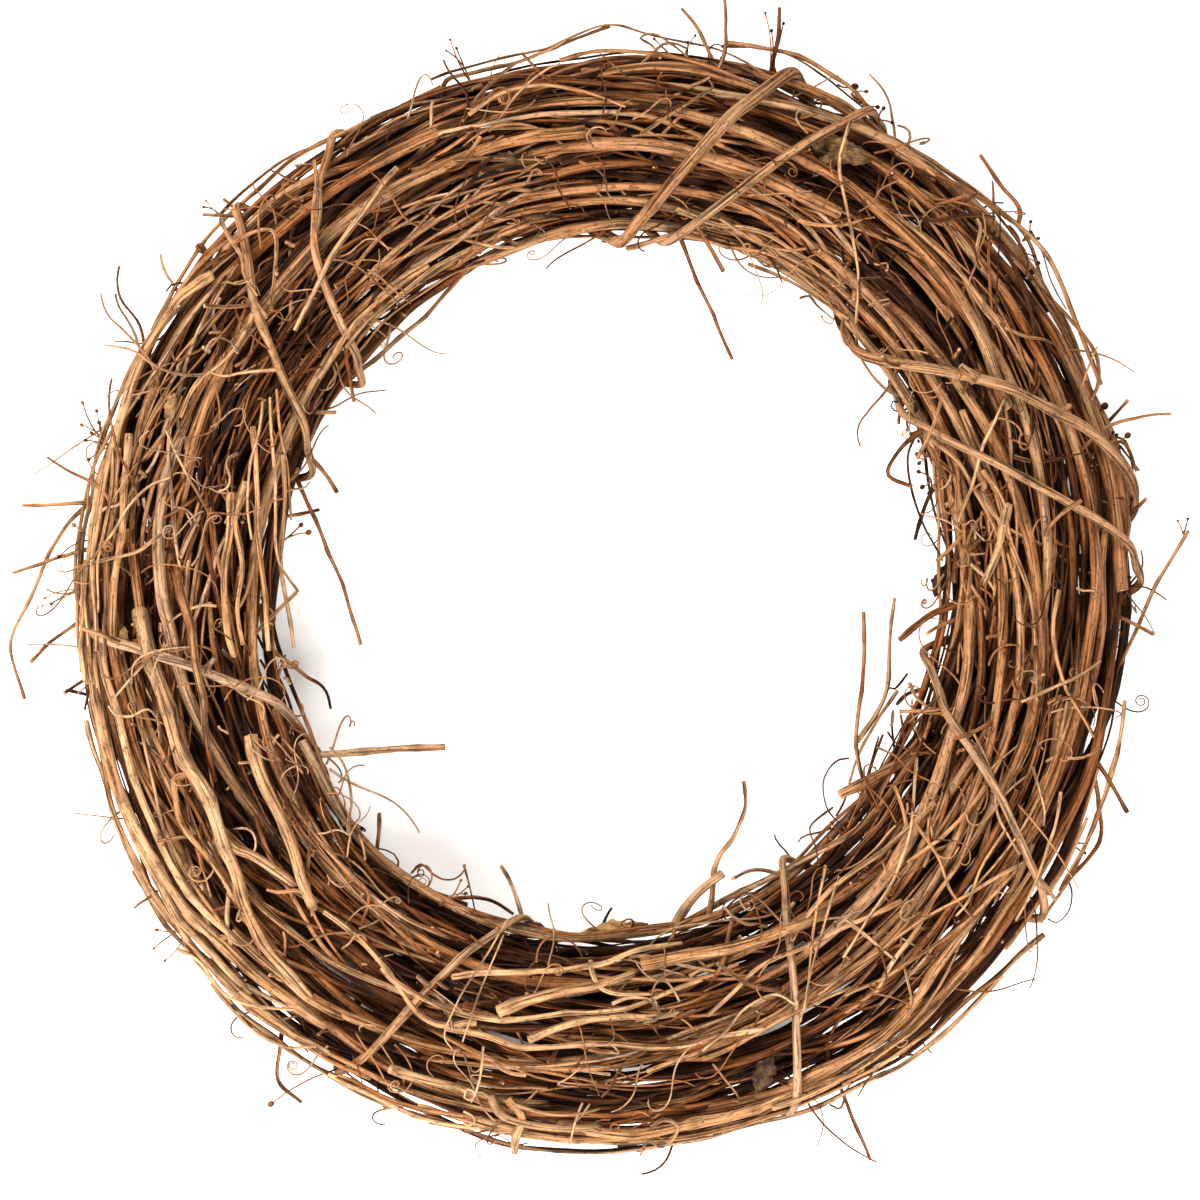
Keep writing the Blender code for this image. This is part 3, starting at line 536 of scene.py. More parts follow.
def make_piece(name, surfaces, material, nodes=()):
    """One piece of the wreath from the arrays of its surfaces, in place of those frame nodes.

    Its bark is darkened by painted shade with depth in the bundle, and paled toward the lower left
    by a slope times (x, y): painted light, as if it fell from that side.
    """
    sizes = np.cumsum([0] + [len(surface["points"]) for surface in surfaces])
    points = np.concatenate([surface["points"] for surface in surfaces])
    quads = np.concatenate([surface["quads"] + size for surface, size in zip(surfaces, sizes)])
    fans = np.concatenate([surface["fans"] + size for surface, size in zip(surfaces, sizes)])
    mesh = bpy.data.meshes.new(name)
    mesh.vertices.add(len(points))
    mesh.vertices.foreach_set("co", points.astype(np.float32).ravel())
    corners = np.concatenate([quads.ravel(), fans.ravel()]).astype(np.int32)
    mesh.loops.add(len(corners))
    mesh.loops.foreach_set("vertex_index", corners)
    starts = np.concatenate([np.arange(len(quads)) * 4, quads.size + np.arange(len(fans)) * 3])
    mesh.polygons.add(len(starts))
    mesh.polygons.foreach_set("loop_start", starts.astype(np.int32))
    mesh.update(calc_edges=True)
    grain = mesh.attributes.new("grain", "FLOAT_VECTOR", "POINT")
    rolled_out = np.concatenate([surface["grain"] for surface in surfaces]).astype(np.float32)
    grain.data.foreach_set("vector", rolled_out.ravel())
    for key in ("tone", "knot", "cut"):
        values = np.concatenate([surface[key] for surface in surfaces]).astype(np.float32)
        if key == "tone":
            # Painted shade lowers the tone deep in the bundle, and painted light pales it toward
            # the lower left.
            values -= PAINTED_SHADE_INSIDE * buried(points) + points[:, :2] @ PAINTED_LIGHT_SLOPE
        mesh.attributes.new(key, "FLOAT", "POINT").data.foreach_set("value", values)
    mesh.shade_smooth()
    mesh.materials.append(material)
    piece = bpy.data.objects.new(name, mesh)
    bpy.context.scene.collection.objects.link(piece)
    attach(piece, "root")
    if nodes:
        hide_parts(*nodes)
    return piece


def add_node(tree, kind, sockets=None, **values):
    """A node of that kind in the tree, with its properties and sockets set."""
    node = tree.nodes.new(kind)
    for key, value in values.items():
        setattr(node, key, value)
    for key, value in (sockets or {}).items():
        node.inputs[key].default_value = value
    return node


def bark_effect():
    """The bark of every stem, as a node group: colour, roughness and height.

    The pattern runs along the stem, on the attribute grain, which is the stem rolled out straight:
    its length first, then the two directions across it. Long fibres and shallow cracks follow the
    length. The attribute tone picks the stem's colour from dark, through red and tan, to grey: its
    own tone, less painted shade deep in the bundle, and shifted by painted light toward the lower
    left.
    """
    group = bpy.data.node_groups.new("dry bark", "ShaderNodeTree")
    for name, kind, value in (
        ("Dark", "NodeSocketColor", (0.030, 0.0085, 0.0024, 1)),
        ("Red", "NodeSocketColor", (0.162, 0.046, 0.008, 1)),
        ("Tan", "NodeSocketColor", (0.300, 0.126, 0.044, 1)),
        ("Khaki", "NodeSocketColor", (0.275, 0.155, 0.073, 1)),
        ("Grey", "NodeSocketColor", (0.350, 0.213, 0.126, 1)),
        ("Cut wood", "NodeSocketColor", (0.34, 0.22, 0.115, 1)),
        ("Fibre length", "NodeSocketFloat", 70.0),
        ("Fibre width", "NodeSocketFloat", 1500.0),
        ("Wear", "NodeSocketFloat", 0.5),
    ):
        socket = group.interface.new_socket(name, in_out="INPUT", socket_type=kind)
        socket.default_value = value
    for name, kind in (("Color", "Color"), ("Roughness", "Float"), ("Height", "Float")):
        group.interface.new_socket(name, in_out="OUTPUT", socket_type="NodeSocket" + kind)
    link = group.links.new
    given = add_node(group, "NodeGroupInput")
    result = add_node(group, "NodeGroupOutput")
    grain = add_node(group, "ShaderNodeAttribute", attribute_name="grain")
    tone = add_node(group, "ShaderNodeAttribute", attribute_name="tone")
    knot = add_node(group, "ShaderNodeAttribute", attribute_name="knot")
    cut = add_node(group, "ShaderNodeAttribute", attribute_name="cut")

    def feed(socket, value):
        """Links the value to the socket where it is a socket too, and sets it otherwise."""
        if isinstance(value, bpy.types.NodeSocket):
            link(value, socket)
        else:
            socket.default_value = value

    def stretched(length, width):
        """The grain, times so much along the stem and so much across it."""
        scale = add_node(group, "ShaderNodeCombineXYZ")
        for socket, value in zip(scale.inputs, (length, width, width)):
            feed(socket, value)
        product = add_node(group, "ShaderNodeVectorMath", operation="MULTIPLY")
        link(grain.outputs["Vector"], product.inputs[0])
        link(scale.outputs[0], product.inputs[1])
        return product.outputs[0]

    def noise(vector, detail, roughness=0.55):
        """Noise there, from 0 to 1."""
        sockets = {"Scale": 1, "Detail": detail, "Roughness": roughness}
        node = add_node(group, "ShaderNodeTexNoise", sockets)
        link(vector, node.inputs["Vector"])
        return node.outputs["Fac"]

    def ramp(value, *stops):
        """The value, led from the first two stops to the last two, and held between those."""
        sockets = dict(zip(("From Min", "From Max", "To Min", "To Max"), stops))
        node = add_node(group, "ShaderNodeMapRange", sockets)
        link(value, node.inputs["Value"])
        return node.outputs["Result"]

    def math_of(operation, one, two):
        node = add_node(group, "ShaderNodeMath", operation=operation)
        for socket, value in zip(node.inputs, (one, two)):
            feed(socket, value)
        return node.outputs[0]

    def mixed(share, one, two, blend="MIX"):
        node = add_node(group, "ShaderNodeMix", data_type="RGBA", blend_type=blend)
        for name, value in (("Factor", share), ("A", one), ("B", two)):
            feed(node.inputs[name], value)
        return node.outputs["Result"]

    # The patterns: fibres, patches of tone, cracks, specks, and how weathered the bark is.
    fibres = noise(stretched(given.outputs["Fibre length"], given.outputs["Fibre width"]), 4, 0.65)
    patches = noise(stretched(22, 140), 3)
    cracks = noise(stretched(26, 900), 2, 0.5)
    specks = noise(stretched(420, 900), 1)
    ages = noise(stretched(5, 60), 1)

    # The colour, by the stem's tone and patches. Fibres that stand proud are worn to grey.
    shade = math_of("ADD", tone.outputs["Fac"], ramp(patches, 0.3, 0.7, -0.24, 0.24))
    to_red = ramp(shade, 0.0, 0.30, 0, 1)
    to_tan = ramp(shade, 0.28, 0.72, 0, 1)
    to_grey = ramp(shade, 0.78, 1.05, 0, 1)
    colour = mixed(to_red, given.outputs["Dark"], given.outputs["Red"])
    weathered = mixed(ramp(ages, 0.40, 0.60, 0, 1), given.outputs["Tan"], given.outputs["Khaki"])
    colour = mixed(to_tan, colour, weathered)
    colour = mixed(to_grey, colour, given.outputs["Grey"])
    worn = math_of("MULTIPLY", ramp(shade, 0.1, 0.8, 0.1, 1.0), given.outputs["Wear"])
    light = math_of("MULTIPLY", ramp(fibres, 0.36, 0.66, 0, 1), worn)
    colour = mixed(light, colour, given.outputs["Grey"])

    # Darker between the fibres, in cracks and specks and at joints, and cut wood at the ends.
    lines = ramp(fibres, 0.32, 0.54, 0.30, 1.0)
    gaps = ramp(cracks, 0.38, 0.48, 0.26, 1.0)
    spots = ramp(specks, 0.32, 0.42, 0.50, 1.0)
    joint = ramp(knot.outputs["Fac"], 0.2, 1.0, 1.0, 0.62)
    etched = math_of("MULTIPLY", lines, gaps)
    darken = math_of("MULTIPLY", etched, math_of("MULTIPLY", spots, joint))
    grey_scale = add_node(group, "ShaderNodeCombineColor")
    for socket in grey_scale.inputs:
        link(darken, socket)
    colour = mixed(1.0, colour, grey_scale.outputs[0], "MULTIPLY")
    sawn = ramp(cut.outputs["Fac"], 0.10, 0.16, 0, 1)
    rings = mixed(ramp(specks, 0.3, 0.7, 0, 0.5), given.outputs["Cut wood"], given.outputs["Red"])
    colour = mixed(sawn, colour, rings)
    link(colour, result.inputs["Color"])
    link(ramp(fibres, 0.3, 0.7, 0.92, 0.66), result.inputs["Roughness"])
    height = math_of("ADD", math_of("MULTIPLY", fibres, 0.5), math_of("MULTIPLY", gaps, 0.6))
    link(height, result.inputs["Height"])
    return group


DRY_BARK = bark_effect()


def bark(name, depth=0.0005, **inputs):
    """A material of dry bark, with relief that deep, and with its own values for the effect."""
    material = bpy.data.materials.new(name)
    material.use_nodes = True
    tree = material.node_tree
    shader = tree.nodes["Principled BSDF"]
    effect = add_node(tree, "ShaderNodeGroup", node_tree=DRY_BARK)
    for key, value in inputs.items():
        effect.inputs[key.replace("_", " ")].default_value = value
    bump = add_node(tree, "ShaderNodeBump", {"Distance": depth, "Strength": 0.9})
    tree.links.new(effect.outputs["Color"], shader.inputs["Base Color"])
    tree.links.new(effect.outputs["Roughness"], shader.inputs["Roughness"])
    tree.links.new(effect.outputs["Height"], bump.inputs["Height"])
    tree.links.new(bump.outputs["Normal"], shader.inputs["Normal"])
    shader.inputs["Specular IOR Level"].default_value = 0.07
    return material


bark_draws = np.random.default_rng(401)
CANE_BARK = bark("cane bark")
THICK_BARK = bark("thick cane bark", Wear=0.35)
for number, name in enumerate(names):
    on_face = name.startswith("face")
    line, thick, way = smooth_line(stems[number].points, stems[number].radius, CANE_SPACING)
    joints = joints_along(way[-1], bark_draws)
    line = grown_line(line, way, UP, joints, CANE_WANDER, CANE_ZIGZAG, bark_draws)
    tone = bark_draws.uniform(*(FACE_CANE_TONES if on_face else CANE_TONES))
    sides = FACE_CANE_SIDES if on_face else CANE_SIDES
    slim = CANE_SLIM * thick * (1 - SLIMMER_INSIDE * buried(line))
    surface = bark_tube(line, slim, UP, sides, joints, tone, bark_draws)
    material = THICK_BARK if on_face else CANE_BARK
    make_piece(name.replace("cane", "bark"), [surface], material, [name])


# Binding vines. Ten smooth, pale, thinner vines, each lashed once round the whole bundle and drawn
# tight, with both ends tucked underneath. They hold the ring together, and the wreath lies on them.

# The radius of each vine, and the pixels that it passes over on the face.
BINDING_VINES = (
    (0.0029, (602, 236, 640, 225, 690, 165, 735, 110, 775, 74, 803, 68)),
    (0.0021, (655, 246, 720, 198, 790, 150, 850, 118, 885, 108)),
    (0.0025, (894, 351, 930, 366, 962, 357, 1000, 361, 1060, 389, 1100, 427, 1127, 490)),
    (0.0018, (900, 410, 960, 432, 1020, 475, 1075, 508, 1110, 525, 1130, 560)),
    (0.0019, (942, 675, 985, 780, 1015, 840, 1045, 905, 1052, 930)),
    (0.0018, (795, 866, 786, 900, 788, 960, 796, 1040, 797, 1097)),
    (0.0018, (522, 930, 450, 920, 420, 960, 400, 1010, 372, 1062, 340, 1096)),
    (0.0024, (70, 632, 140, 638, 215, 652, 260, 668, 305, 688, 328, 735)),
    (0.0019, (232, 205, 240, 255, 262, 300, 282, 340, 300, 400, 306, 470)),
    (0.0019, (345, 105, 322, 150, 300, 190, 296, 230, 310, 290, 345, 345)),
)

# Points along a vine, how far its ends pass each other underneath, how it drifts along the ring
# behind, and how it thins.
BINDING_STEPS = 18
BINDING_TAIL = math.radians(15)
BACK_PITCH = 0.5
VINE_TAPER = 0.85

# Drawing a stem tight: rounds for a vine and for a limb, the step, how much it straightens, and
# the most rounds of lifting it clear.
VINE_ROUNDS = 60
LIMB_ROUNDS = 40
DRAW_STEP = 0.0001
DRAW_SHARE = 0.2
LIFT_ROUNDS = 120
LIFT_STEP = 2 * DRAW_STEP
LONGEST_MOVE = 5 * DRAW_STEP
DRAW_BENDS = 3

# Bending a stem clear: how near the others are that it could meet, the room that it gets as a
# share of the clearance, and how hard it is pushed, and less where many push it.
REACH_MARGIN = 0.015
BEND_ROOM = 1.2
BEND_PUSH = 1.3
CROWDED_BEND = 0.7

# The outline: the directions in which it is felt, and the least that one faces the way asked for.
# A vine meets the face as if this were so much wider, and never closer to its edge than the limit.
OUTLINE_WAYS = 72
LEAST_FACING = 0.1
FACE_SPREAD = 1.06
FACE_LIMIT = 0.995


class Runs:
    """Every straight run of some stems: its ends, its radius, its stem and its place there."""

    def __init__(self, stems):
        self.start = np.concatenate([s.points[:-1] for s in stems])
        self.end = np.concatenate([s.points[1:] for s in stems])
        self.radius = np.concatenate([np.maximum(s.radius[:-1], s.radius[1:]) for s in stems])
        self.stem = np.concatenate([np.full(len(s.points) - 1, n) for n, s in enumerate(stems)])
        self.number = np.concatenate([np.arange(len(s.points) - 1) for s in stems])

    def without(self, stem, number):
        """The same runs, less those of one stem that join the run with that number."""
        other = Runs.__new__(Runs)
        keep = (self.stem != stem) | (np.abs(self.number - number) > 1)
        for name in ("start", "end", "radius", "stem", "number"):
            setattr(other, name, getattr(self, name)[keep])
        return other


def near_runs(stem, runs):
    """The runs that could touch a stem: their starts, ends and radii, each as one row."""
    near = (np.minimum(runs.start, runs.end) < stem.points.max(0) + REACH_MARGIN).all(1)
    near &= (np.maximum(runs.start, runs.end) > stem.points.min(0) - REACH_MARGIN).all(1)
    return runs.start[near][None], runs.end[near][None], runs.radius[near][None]


def measure(stem, near):
    """The room between each run of a stem and each near run, with its direction and its place."""
    start, end, radius = near
    first = stem.points[:-1, None]
    last = stem.points[1:, None]
    share, other_share = closest(first, last, start, end)
    gap = first + share[..., None] * (last - first) - start - other_share[..., None] * (end - start)
    distance = np.maximum(np.linalg.norm(gap, axis=2), 1e-6)
    own = np.maximum(stem.radius[:-1], stem.radius[1:])[:, None]
    return distance - own - radius, gap / distance[..., None], share


def bend_clear(stem, runs, free, rounds):
    """Push a stem's free points off the other stems. Returns the smallest gap that is left."""
    near = near_runs(stem, runs)
    for number in range(rounds + 1):
        room, direction, share = measure(stem, near)
        if number == rounds or room.min(initial=1) >= CLEARANCE:
            break
        lack = np.maximum(0, BEND_ROOM * CLEARANCE - room)
        vector = direction * lack[..., None]
        move = np.zeros_like(stem.points)
        hits = np.zeros(len(move))
        for rows, amount in ((slice(0, -1), 1 - share), (slice(1, None), share)):
            move[rows] += (vector * amount[..., None]).sum(1)
            hits[rows] += (amount * (lack > 0)).sum(1)
        move *= BEND_PUSH / np.maximum(1, CROWDED_BEND * hits)[:, None]
        stem.points = stem.points + move * free[:, None]
    return room.min(initial=1)


def inward(points):
    """The direction from each point to the middle of the bundle's section there."""
    way = section_middle(points) - points
    return way / np.linalg.norm(way, axis=1)[:, None]


def lift_clear(stem, runs, free):
    """Lift the runs of a stem that touch others straight out of the bundle, until none does."""
    near = near_runs(stem, runs)
    for _ in range(LIFT_ROUNDS):
        room = measure(stem, near)[0].min(axis=1)
        if room.min() >= CLEARANCE:
            break
        touching = room < CLEARANCE
        lifted = np.zeros(len(stem.points))
        lifted[:-1] += touching
        lifted[1:] += touching
        step = LIFT_STEP * np.minimum(lifted, 1) * free
        stem.points = stem.points - step[:, None] * inward(stem.points)


def draw_tight(stem, runs, free, rounds):
    """Draw a stem tight against the bundle: it shortens, and presses in until it meets canes."""
    lift_clear(stem, runs, free)
    for _ in range(rounds):
        move = DRAW_STEP * inward(stem.points)
        move[1:-1] += DRAW_SHARE * ((stem.points[:-2] + stem.points[2:]) / 2 - stem.points[1:-1])
        size = np.maximum(np.linalg.norm(move, axis=1), 1e-9)
        move *= (np.minimum(size, LONGEST_MOVE) / size)[:, None]
        stem.points = stem.points + move * free[:, None]
        bend_clear(stem, runs, free, DRAW_BENDS)
    lift_clear(stem, runs, free)


def outline_reach(runs, angle, turned):
    """How far the bundle's outline is from the section's middle, in the direction turned."""
    facing = np.array([math.cos(angle), math.sin(angle)])
    sideways = np.array([-math.sin(angle), math.cos(angle)])
    before = runs.start[:, :2] @ sideways
    after = runs.end[:, :2] @ sideways
    crossing = (before * after < 0) & (runs.start[:, :2] @ facing > 0)
    share = (before / (before - after + 1e-12))[crossing][:, None]
    point = runs.start[crossing] + share * (runs.end[crossing] - runs.start[crossing])
    middle = to_world(np.array(angle), np.zeros(2))[2]
    place = np.stack([point[:, :2] @ facing - ring_radius(angle), point[:, 2] - middle], axis=1)
    ways = np.linspace(-math.pi, math.pi, OUTLINE_WAYS + 1)[:-1]
    normals = np.stack([np.cos(ways), np.sin(ways)], axis=1)
    support = (place @ normals.T + runs.radius[crossing][:, None]).max(0)
    along = normals @ np.array([math.cos(turned), math.sin(turned)])
    ahead = along > LEAST_FACING
    return (support[ahead] / along[ahead]).min()


def on_outline(runs, angles, turned, height):
    """Points that high above the bundle's outline, at each angle and direction."""
    out = np.array([outline_reach(runs, a, t) for a, t in zip(angles, turned)]) + height
    return to_world(angles, out[:, None] * np.stack([np.cos(turned), np.sin(turned)], axis=1))


def face_direction(angle, across):
    """The direction in the section at which the face has that distance across the band."""
    share = across / (FACE_SPREAD * half_size(angle)[:, 0])
    return np.arccos(np.clip(share, -FACE_LIMIT, FACE_LIMIT))


def binding_vine(radius, pixels, canes, runs):
    """A vine lashed once round the bundle, over the given pixels, with both ends underneath."""
    angle, across = from_pixels(pixels)
    turned = face_direction(angle, across)
    if turned[0] < turned[-1]:
        angle = angle[::-1]
        turned = turned[::-1]
    pitch = BACK_PITCH * (angle[0] - angle[-1]) / (turned[0] - turned[-1])
    under = [1.5 * math.pi + BINDING_TAIL, -0.5 * math.pi - BINDING_TAIL]
    back = [angle[0] + pitch * (under[0] - turned[0]), angle[-1] + pitch * (under[1] - turned[-1])]
    turned = np.concatenate([under[:1], turned, under[1:]])[::-1]
    angle = np.concatenate([back[:1], angle, back[1:]])[::-1]
    ways = np.linspace(turned[0], turned[-1], BINDING_STEPS + 1)
    angles = np.interp(ways, turned, angle)
    points = on_outline(canes, angles, ways, radius + 3 * CLEARANCE)
    stem = Stem(points, radius * np.linspace(1, VINE_TAPER, len(ways)))
    free = np.ones(len(ways))
    draw_tight(stem, runs, free, VINE_ROUNDS)
    lowest = np.argmin(stem.points[:, 2])
    stem.points[lowest, 2] = stem.radius[lowest] - FLATTENED
    return stem


# The dressed vines: their surface, how they wander, the tone of each, and how far from a vine the
# stems that it holds stay low, with the slope at which they rise again.
VINE_SPACING = 0.0022
VINE_SIDES = 14
VINE_WANDER = 0.0004
VINE_ZIGZAG = 0.0004
FLAT_SHARE = 0.9
VINE_TONES = (0.70, 0.88, 0.80, 0.88, 0.95, 0.95, 0.76, 0.95, 0.72, 0.82)
DUCK_REACH = 0.003
DUCK_SLOPE = 0.6
VINE_BARK = bark("binding vine bark", Wear=0.6, Fibre_length=45.0)
canes = Runs(stems)
vine_lines = []
vine_draws = np.random.default_rng(403)
for number, (radius, pixels) in enumerate(BINDING_VINES):
    vine = binding_vine(radius, pixels, canes, Runs(stems))
    stems.append(vine)
    owners.append(len(names))
    names.append(f"binding_vine_{number + 1:02d}")
    line, thick, way = smooth_line(vine.points, vine.radius, VINE_SPACING)
    facing = np.arctan2(line[:, 1], line[:, 0])
    across = np.stack([-np.sin(facing), np.cos(facing), np.zeros(len(line))], axis=1)
    joints = joints_along(way[-1], vine_draws)
    line = grown_line(line, way, across, joints, VINE_WANDER, VINE_ZIGZAG, vine_draws)
    line[:, 2] = np.maximum(line[:, 2], FLAT_SHARE * thick)
    vine_lines.append(np.column_stack([line, thick]))
    surface = bark_tube(line, thick, across, VINE_SIDES, joints, VINE_TONES[number], vine_draws)
    name = names[-1].replace("binding_vine", "vine_bark")
    make_piece(name, [surface], VINE_BARK, names[-1:])
vine_points = np.concatenate(vine_lines)


def duck(line, radius):
    """The line, kept under the binding vines where it crosses them on the face.

    At the distance d from a vine it stays below the vine's underside by its own radius, less the
    slope times the part of d past the reach. Below the section's middle it stays as it is.
    """
    middle = section_middle(line)[:, 2]
    on_top = vine_points[vine_points[:, 2] > section_middle(vine_points)[:, 2]]
    apart = np.linalg.norm(line[:, None, :2] - on_top[None, :, :2], axis=2)
    roof = on_top[:, 2] - on_top[:, 3] - np.reshape(radius, (-1, 1))
    roof = roof + DUCK_SLOPE * np.maximum(0, apart - DUCK_REACH)
    height = np.where(line[:, 2] > middle, np.minimum(line[:, 2], roof.min(axis=1)), line[:, 2])
    return np.column_stack([line[:, :2], np.maximum(height, np.minimum(middle, line[:, 2]))])


# Shoots and limbs. What is left of the vine's side growth: forked limbs laid over the face, long
# twigs that stick out of the ring, and small tendrils. Each grows out of a cane or a vine.

# Side shoots: radius, how high the tip is (0 table, 1 face), and pixels from root to tip.
SHOOTS = (
    (0.0015, 0.55, (300, 755, 345, 752, 395, 752, 445, 747)),
    (0.0017, 0.60, (952, 598, 925, 618, 900, 640)),
    (0.0010, 0.70, (868, 805, 856, 770, 858, 700, 866, 655, 862, 612)),
    (0.0010, 0.50, (870, 745, 885, 700, 896, 598)),
    (0.0011, 0.70, (700, 895, 720, 850, 748, 820, 743, 780)),
    (0.0023, 0.75, (915, 762, 875, 776, 838, 793)),
    (0.0020, 0.60, (680, 905, 704, 880, 722, 873)),
    (0.0009, 0.55, (678, 232, 710, 310, 733, 358)),
    (0.0009, 0.45, (298, 485, 325, 545, 345, 600, 359, 645)),
    (0.0009, 0.40, (345, 388, 385, 345, 425, 310, 470, 262)),
    (0.0009, 0.70, (925, 430, 893, 452, 883, 478, 912, 487)),
    (0.0009, 0.50, (90, 545, 55, 560, 10, 573)),
    (0.0009, 0.60, (92, 480, 55, 503, 22, 505)),
    (0.0009, 0.35, (88, 500, 60, 520, 30, 590, 3, 645, 18, 700)),
    (0.0009, 0.50, (440, 95, 430, 72, 510, 60, 545, 45, 610, 22)),
    (0.0009, 0.55, (735, 90, 720, 70, 705, 35, 682, 5)),
    (0.0011, 0.65, (795, 88, 785, 60, 778, 40, 780, 6)),
    (0.0010, 0.60, (880, 110, 855, 83, 790, 50, 725, 40)),
    (0.0011, 0.75, (890, 165, 940, 178, 1000, 210, 1032, 235, 1072, 310, 1100, 385)),
    (0.0009, 0.70, (1010, 235, 1030, 222, 980, 155)),
    (0.0009, 0.45, (1115, 690, 1135, 640, 1150, 600, 1193, 530)),
    (0.0009, 0.40, (1105, 770, 1110, 820, 1105, 850, 1070, 885)),
    (0.0009, 0.45, (835, 1075, 852, 1110, 872, 1163)),
    (0.0013, 0.40, (512, 1105, 516, 1125, 513, 1150)),
    (0.0009, 0.50, (1095, 460, 1120, 440, 1140, 470)),
    (0.0009, 0.50, (250, 215, 228, 208, 200, 212)),
    (0.0009, 0.45, (255, 1050, 275, 1085, 300, 1105)),
    (0.0013, 0.85, (1022, 402, 1033, 388, 1038, 370)),
)

# The length of a shoot's runs, its taper, how it bends clear of other stems and how far it may
# move in that, where its root is looked for, and how its path is smoothed.
SHOOT_RUN = 0.014
SHOOT_TAPER = 0.8
SHOOT_ROUNDS = 60
SHOOT_MOVES = 0.010
ROOT_SEARCH = 0.025
ROOT_SHARES = (0.2, 0.8)
HEIGHT_WEIGHT = 0.4
SMOOTH_POINTS = 100
SMOOTH_ROUNDS = 150

# The second limbs of the forked canes, laid over the face from the fork.
LIMBS = (
    (0.0024, (243, 850, 272, 858, 300, 882, 350, 925, 400, 962)),
    (0.0020, (152, 560, 190, 600, 205, 660, 215, 720, 228, 775)),
)

# Small tendrils, left wherever there is room on the outside of the bundle.
TENDRILS = 44
TENDRIL_TRIES = 2000
TENDRIL_RADIUS = 0.0008
TENDRIL_LENGTH = (0.014, 0.030)
TENDRIL_FREE = (0, 0.5, 1, 1)
TENDRIL_ROOTS = (0.25, 0.75)
TENDRIL_LEAN = (0.3, 0.9)
TENDRIL_CURL = (0.2, 0.8)
TENDRIL_ROUNDS = 30
TENDRIL_MOVES = 0.005
OUTSIDE_SHARE = 0.75
LOWEST_TENDRIL = -0.4


def spaced(points, length):
    """The same path as a smooth curve, cut into equal runs of about that length."""
    way = way_along(points)
    fine = np.linspace(0, way[-1], SMOOTH_POINTS)
    curve = np.stack([np.interp(fine, way, points[:, axis]) for axis in range(3)], axis=1)
    for _ in range(SMOOTH_ROUNDS):
        curve[1:-1] = (curve[:-2] + 2 * curve[1:-1] + curve[2:]) / 4
    count = max(2, int(round(way[-1] / length)))
    return curve[np.round(np.linspace(0, SMOOTH_POINTS - 1, count + 1)).astype(int)]


def root_places(runs, spot, height):
    """Runs that a shoot can grow from, nearest to the spot first, with the place on each."""
    along = (runs.end - runs.start)[:, :2]
    share = ((spot - runs.start[:, :2]) * along).sum(1) / (along * along).sum(1)
    share = np.clip(share, *ROOT_SHARES)
    place = runs.start + share[:, None] * (runs.end - runs.start)
    far = np.linalg.norm(place[:, :2] - spot, axis=1)
    far = far + HEIGHT_WEIGHT * np.abs(place[:, 2] - height)
    order = np.argsort(far)
    return [(index, place[index]) for index in order if far[index] < ROOT_SEARCH]


def rooted(path, radius, tip_share):
    """A stem along the path that thins to its tip, and which of its points are free to move."""
    stem = Stem(spaced(path, SHOOT_RUN), radius)
    stem.radius = stem.radius * np.linspace(1, tip_share, len(stem.points))
    return stem, np.concatenate([[0], np.ones(len(stem.points) - 1)])


def side_shoot(stems, radius, level, pixels):
    """A shoot that grows out of the nearest stem with room for it. Returns it and that stem."""
    runs = Runs(stems)
    points = on_plan(pixels)
    angle = math.atan2(points[0, 1], points[0, 0])
    tip_height = to_world(angle, np.array([0, (2 * level - 1) * half_size(angle)[1]]))[2]
    for index, root in root_places(runs, points[0], tip_height):
        rise = np.linspace(root[2], tip_height, len(points))
        path = np.concatenate([points, rise[:, None]], axis=1)
        path[0] = root
        stem, free = rooted(path, radius, SHOOT_TAPER)
        before = stem.points
        others = runs.without(runs.stem[index], runs.number[index])
        gap = bend_clear(stem, others, free, SHOOT_ROUNDS)
        moved = np.linalg.norm(stem.points - before, axis=1).max()
        if gap >= CLEARANCE and moved < SHOOT_MOVES:
            return stem, runs.stem[index]
    return None, None


def limb(stems, radius, pixels):
    """A second limb of a forked face cane, laid over the face from the fork."""
    runs = Runs(stems)
    angle, across = from_pixels(pixels)
    points = on_outline(runs, angle, face_direction(angle, across), radius + 2 * CLEARANCE)
    places = root_places(runs, points[0, :2], points[0, 2])
    index, root = [place for place in places if runs.stem[place[0]] < len(FACE_CANES)][0]
    points[0] = root
    stem, free = rooted(points, radius, TIP_SHARE)
    others = runs.without(runs.stem[index], runs.number[index])
    draw_tight(stem, others, free, LIMB_ROUNDS)
    return stem, runs.stem[index]


def tendril(runs, rng):
    """A small shoot at a random place on the outside, or nothing where there is no room."""
    index = rng.integers(len(runs.start))
    share = rng.uniform(*TENDRIL_ROOTS)
    root = runs.start[index] + share * (runs.end[index] - runs.start[index])
    angle = math.atan2(root[1], root[0])
    middle = to_world(angle, np.zeros(2))
    outward = root - middle
    share = np.linalg.norm(outward / [HALF_WIDTH, HALF_WIDTH, HALF_HEIGHT])
    if share < OUTSIDE_SHARE or outward[2] < LOWEST_TENDRIL * HALF_HEIGHT:
        return None, None
    outward /= np.linalg.norm(outward)
    along = np.array([-math.sin(angle), math.cos(angle), 0]) * rng.choice([-1, 1])
    side = np.cross(outward, along) * rng.choice([-1, 1])
    length = rng.uniform(*TENDRIL_LENGTH)
    lean = rng.uniform(*TENDRIL_LEAN)
    curl = rng.uniform(*TENDRIL_CURL)
    way = np.linspace(0, 1, len(TENDRIL_FREE))[:, None] * length
    path = root + way * (outward + lean * along)
    path = path + curl * way * way / length * (side - 0.5 * outward)
    stem = Stem(path, TENDRIL_RADIUS)
    free = np.array(TENDRIL_FREE)
    others = runs.without(runs.stem[index], runs.number[index])
    gap = bend_clear(stem, others, free, TENDRIL_ROUNDS)
    if gap < CLEARANCE or np.linalg.norm(stem.points - path, axis=1).max() > TENDRIL_MOVES:
        return None, None
    return stem, runs.stem[index]


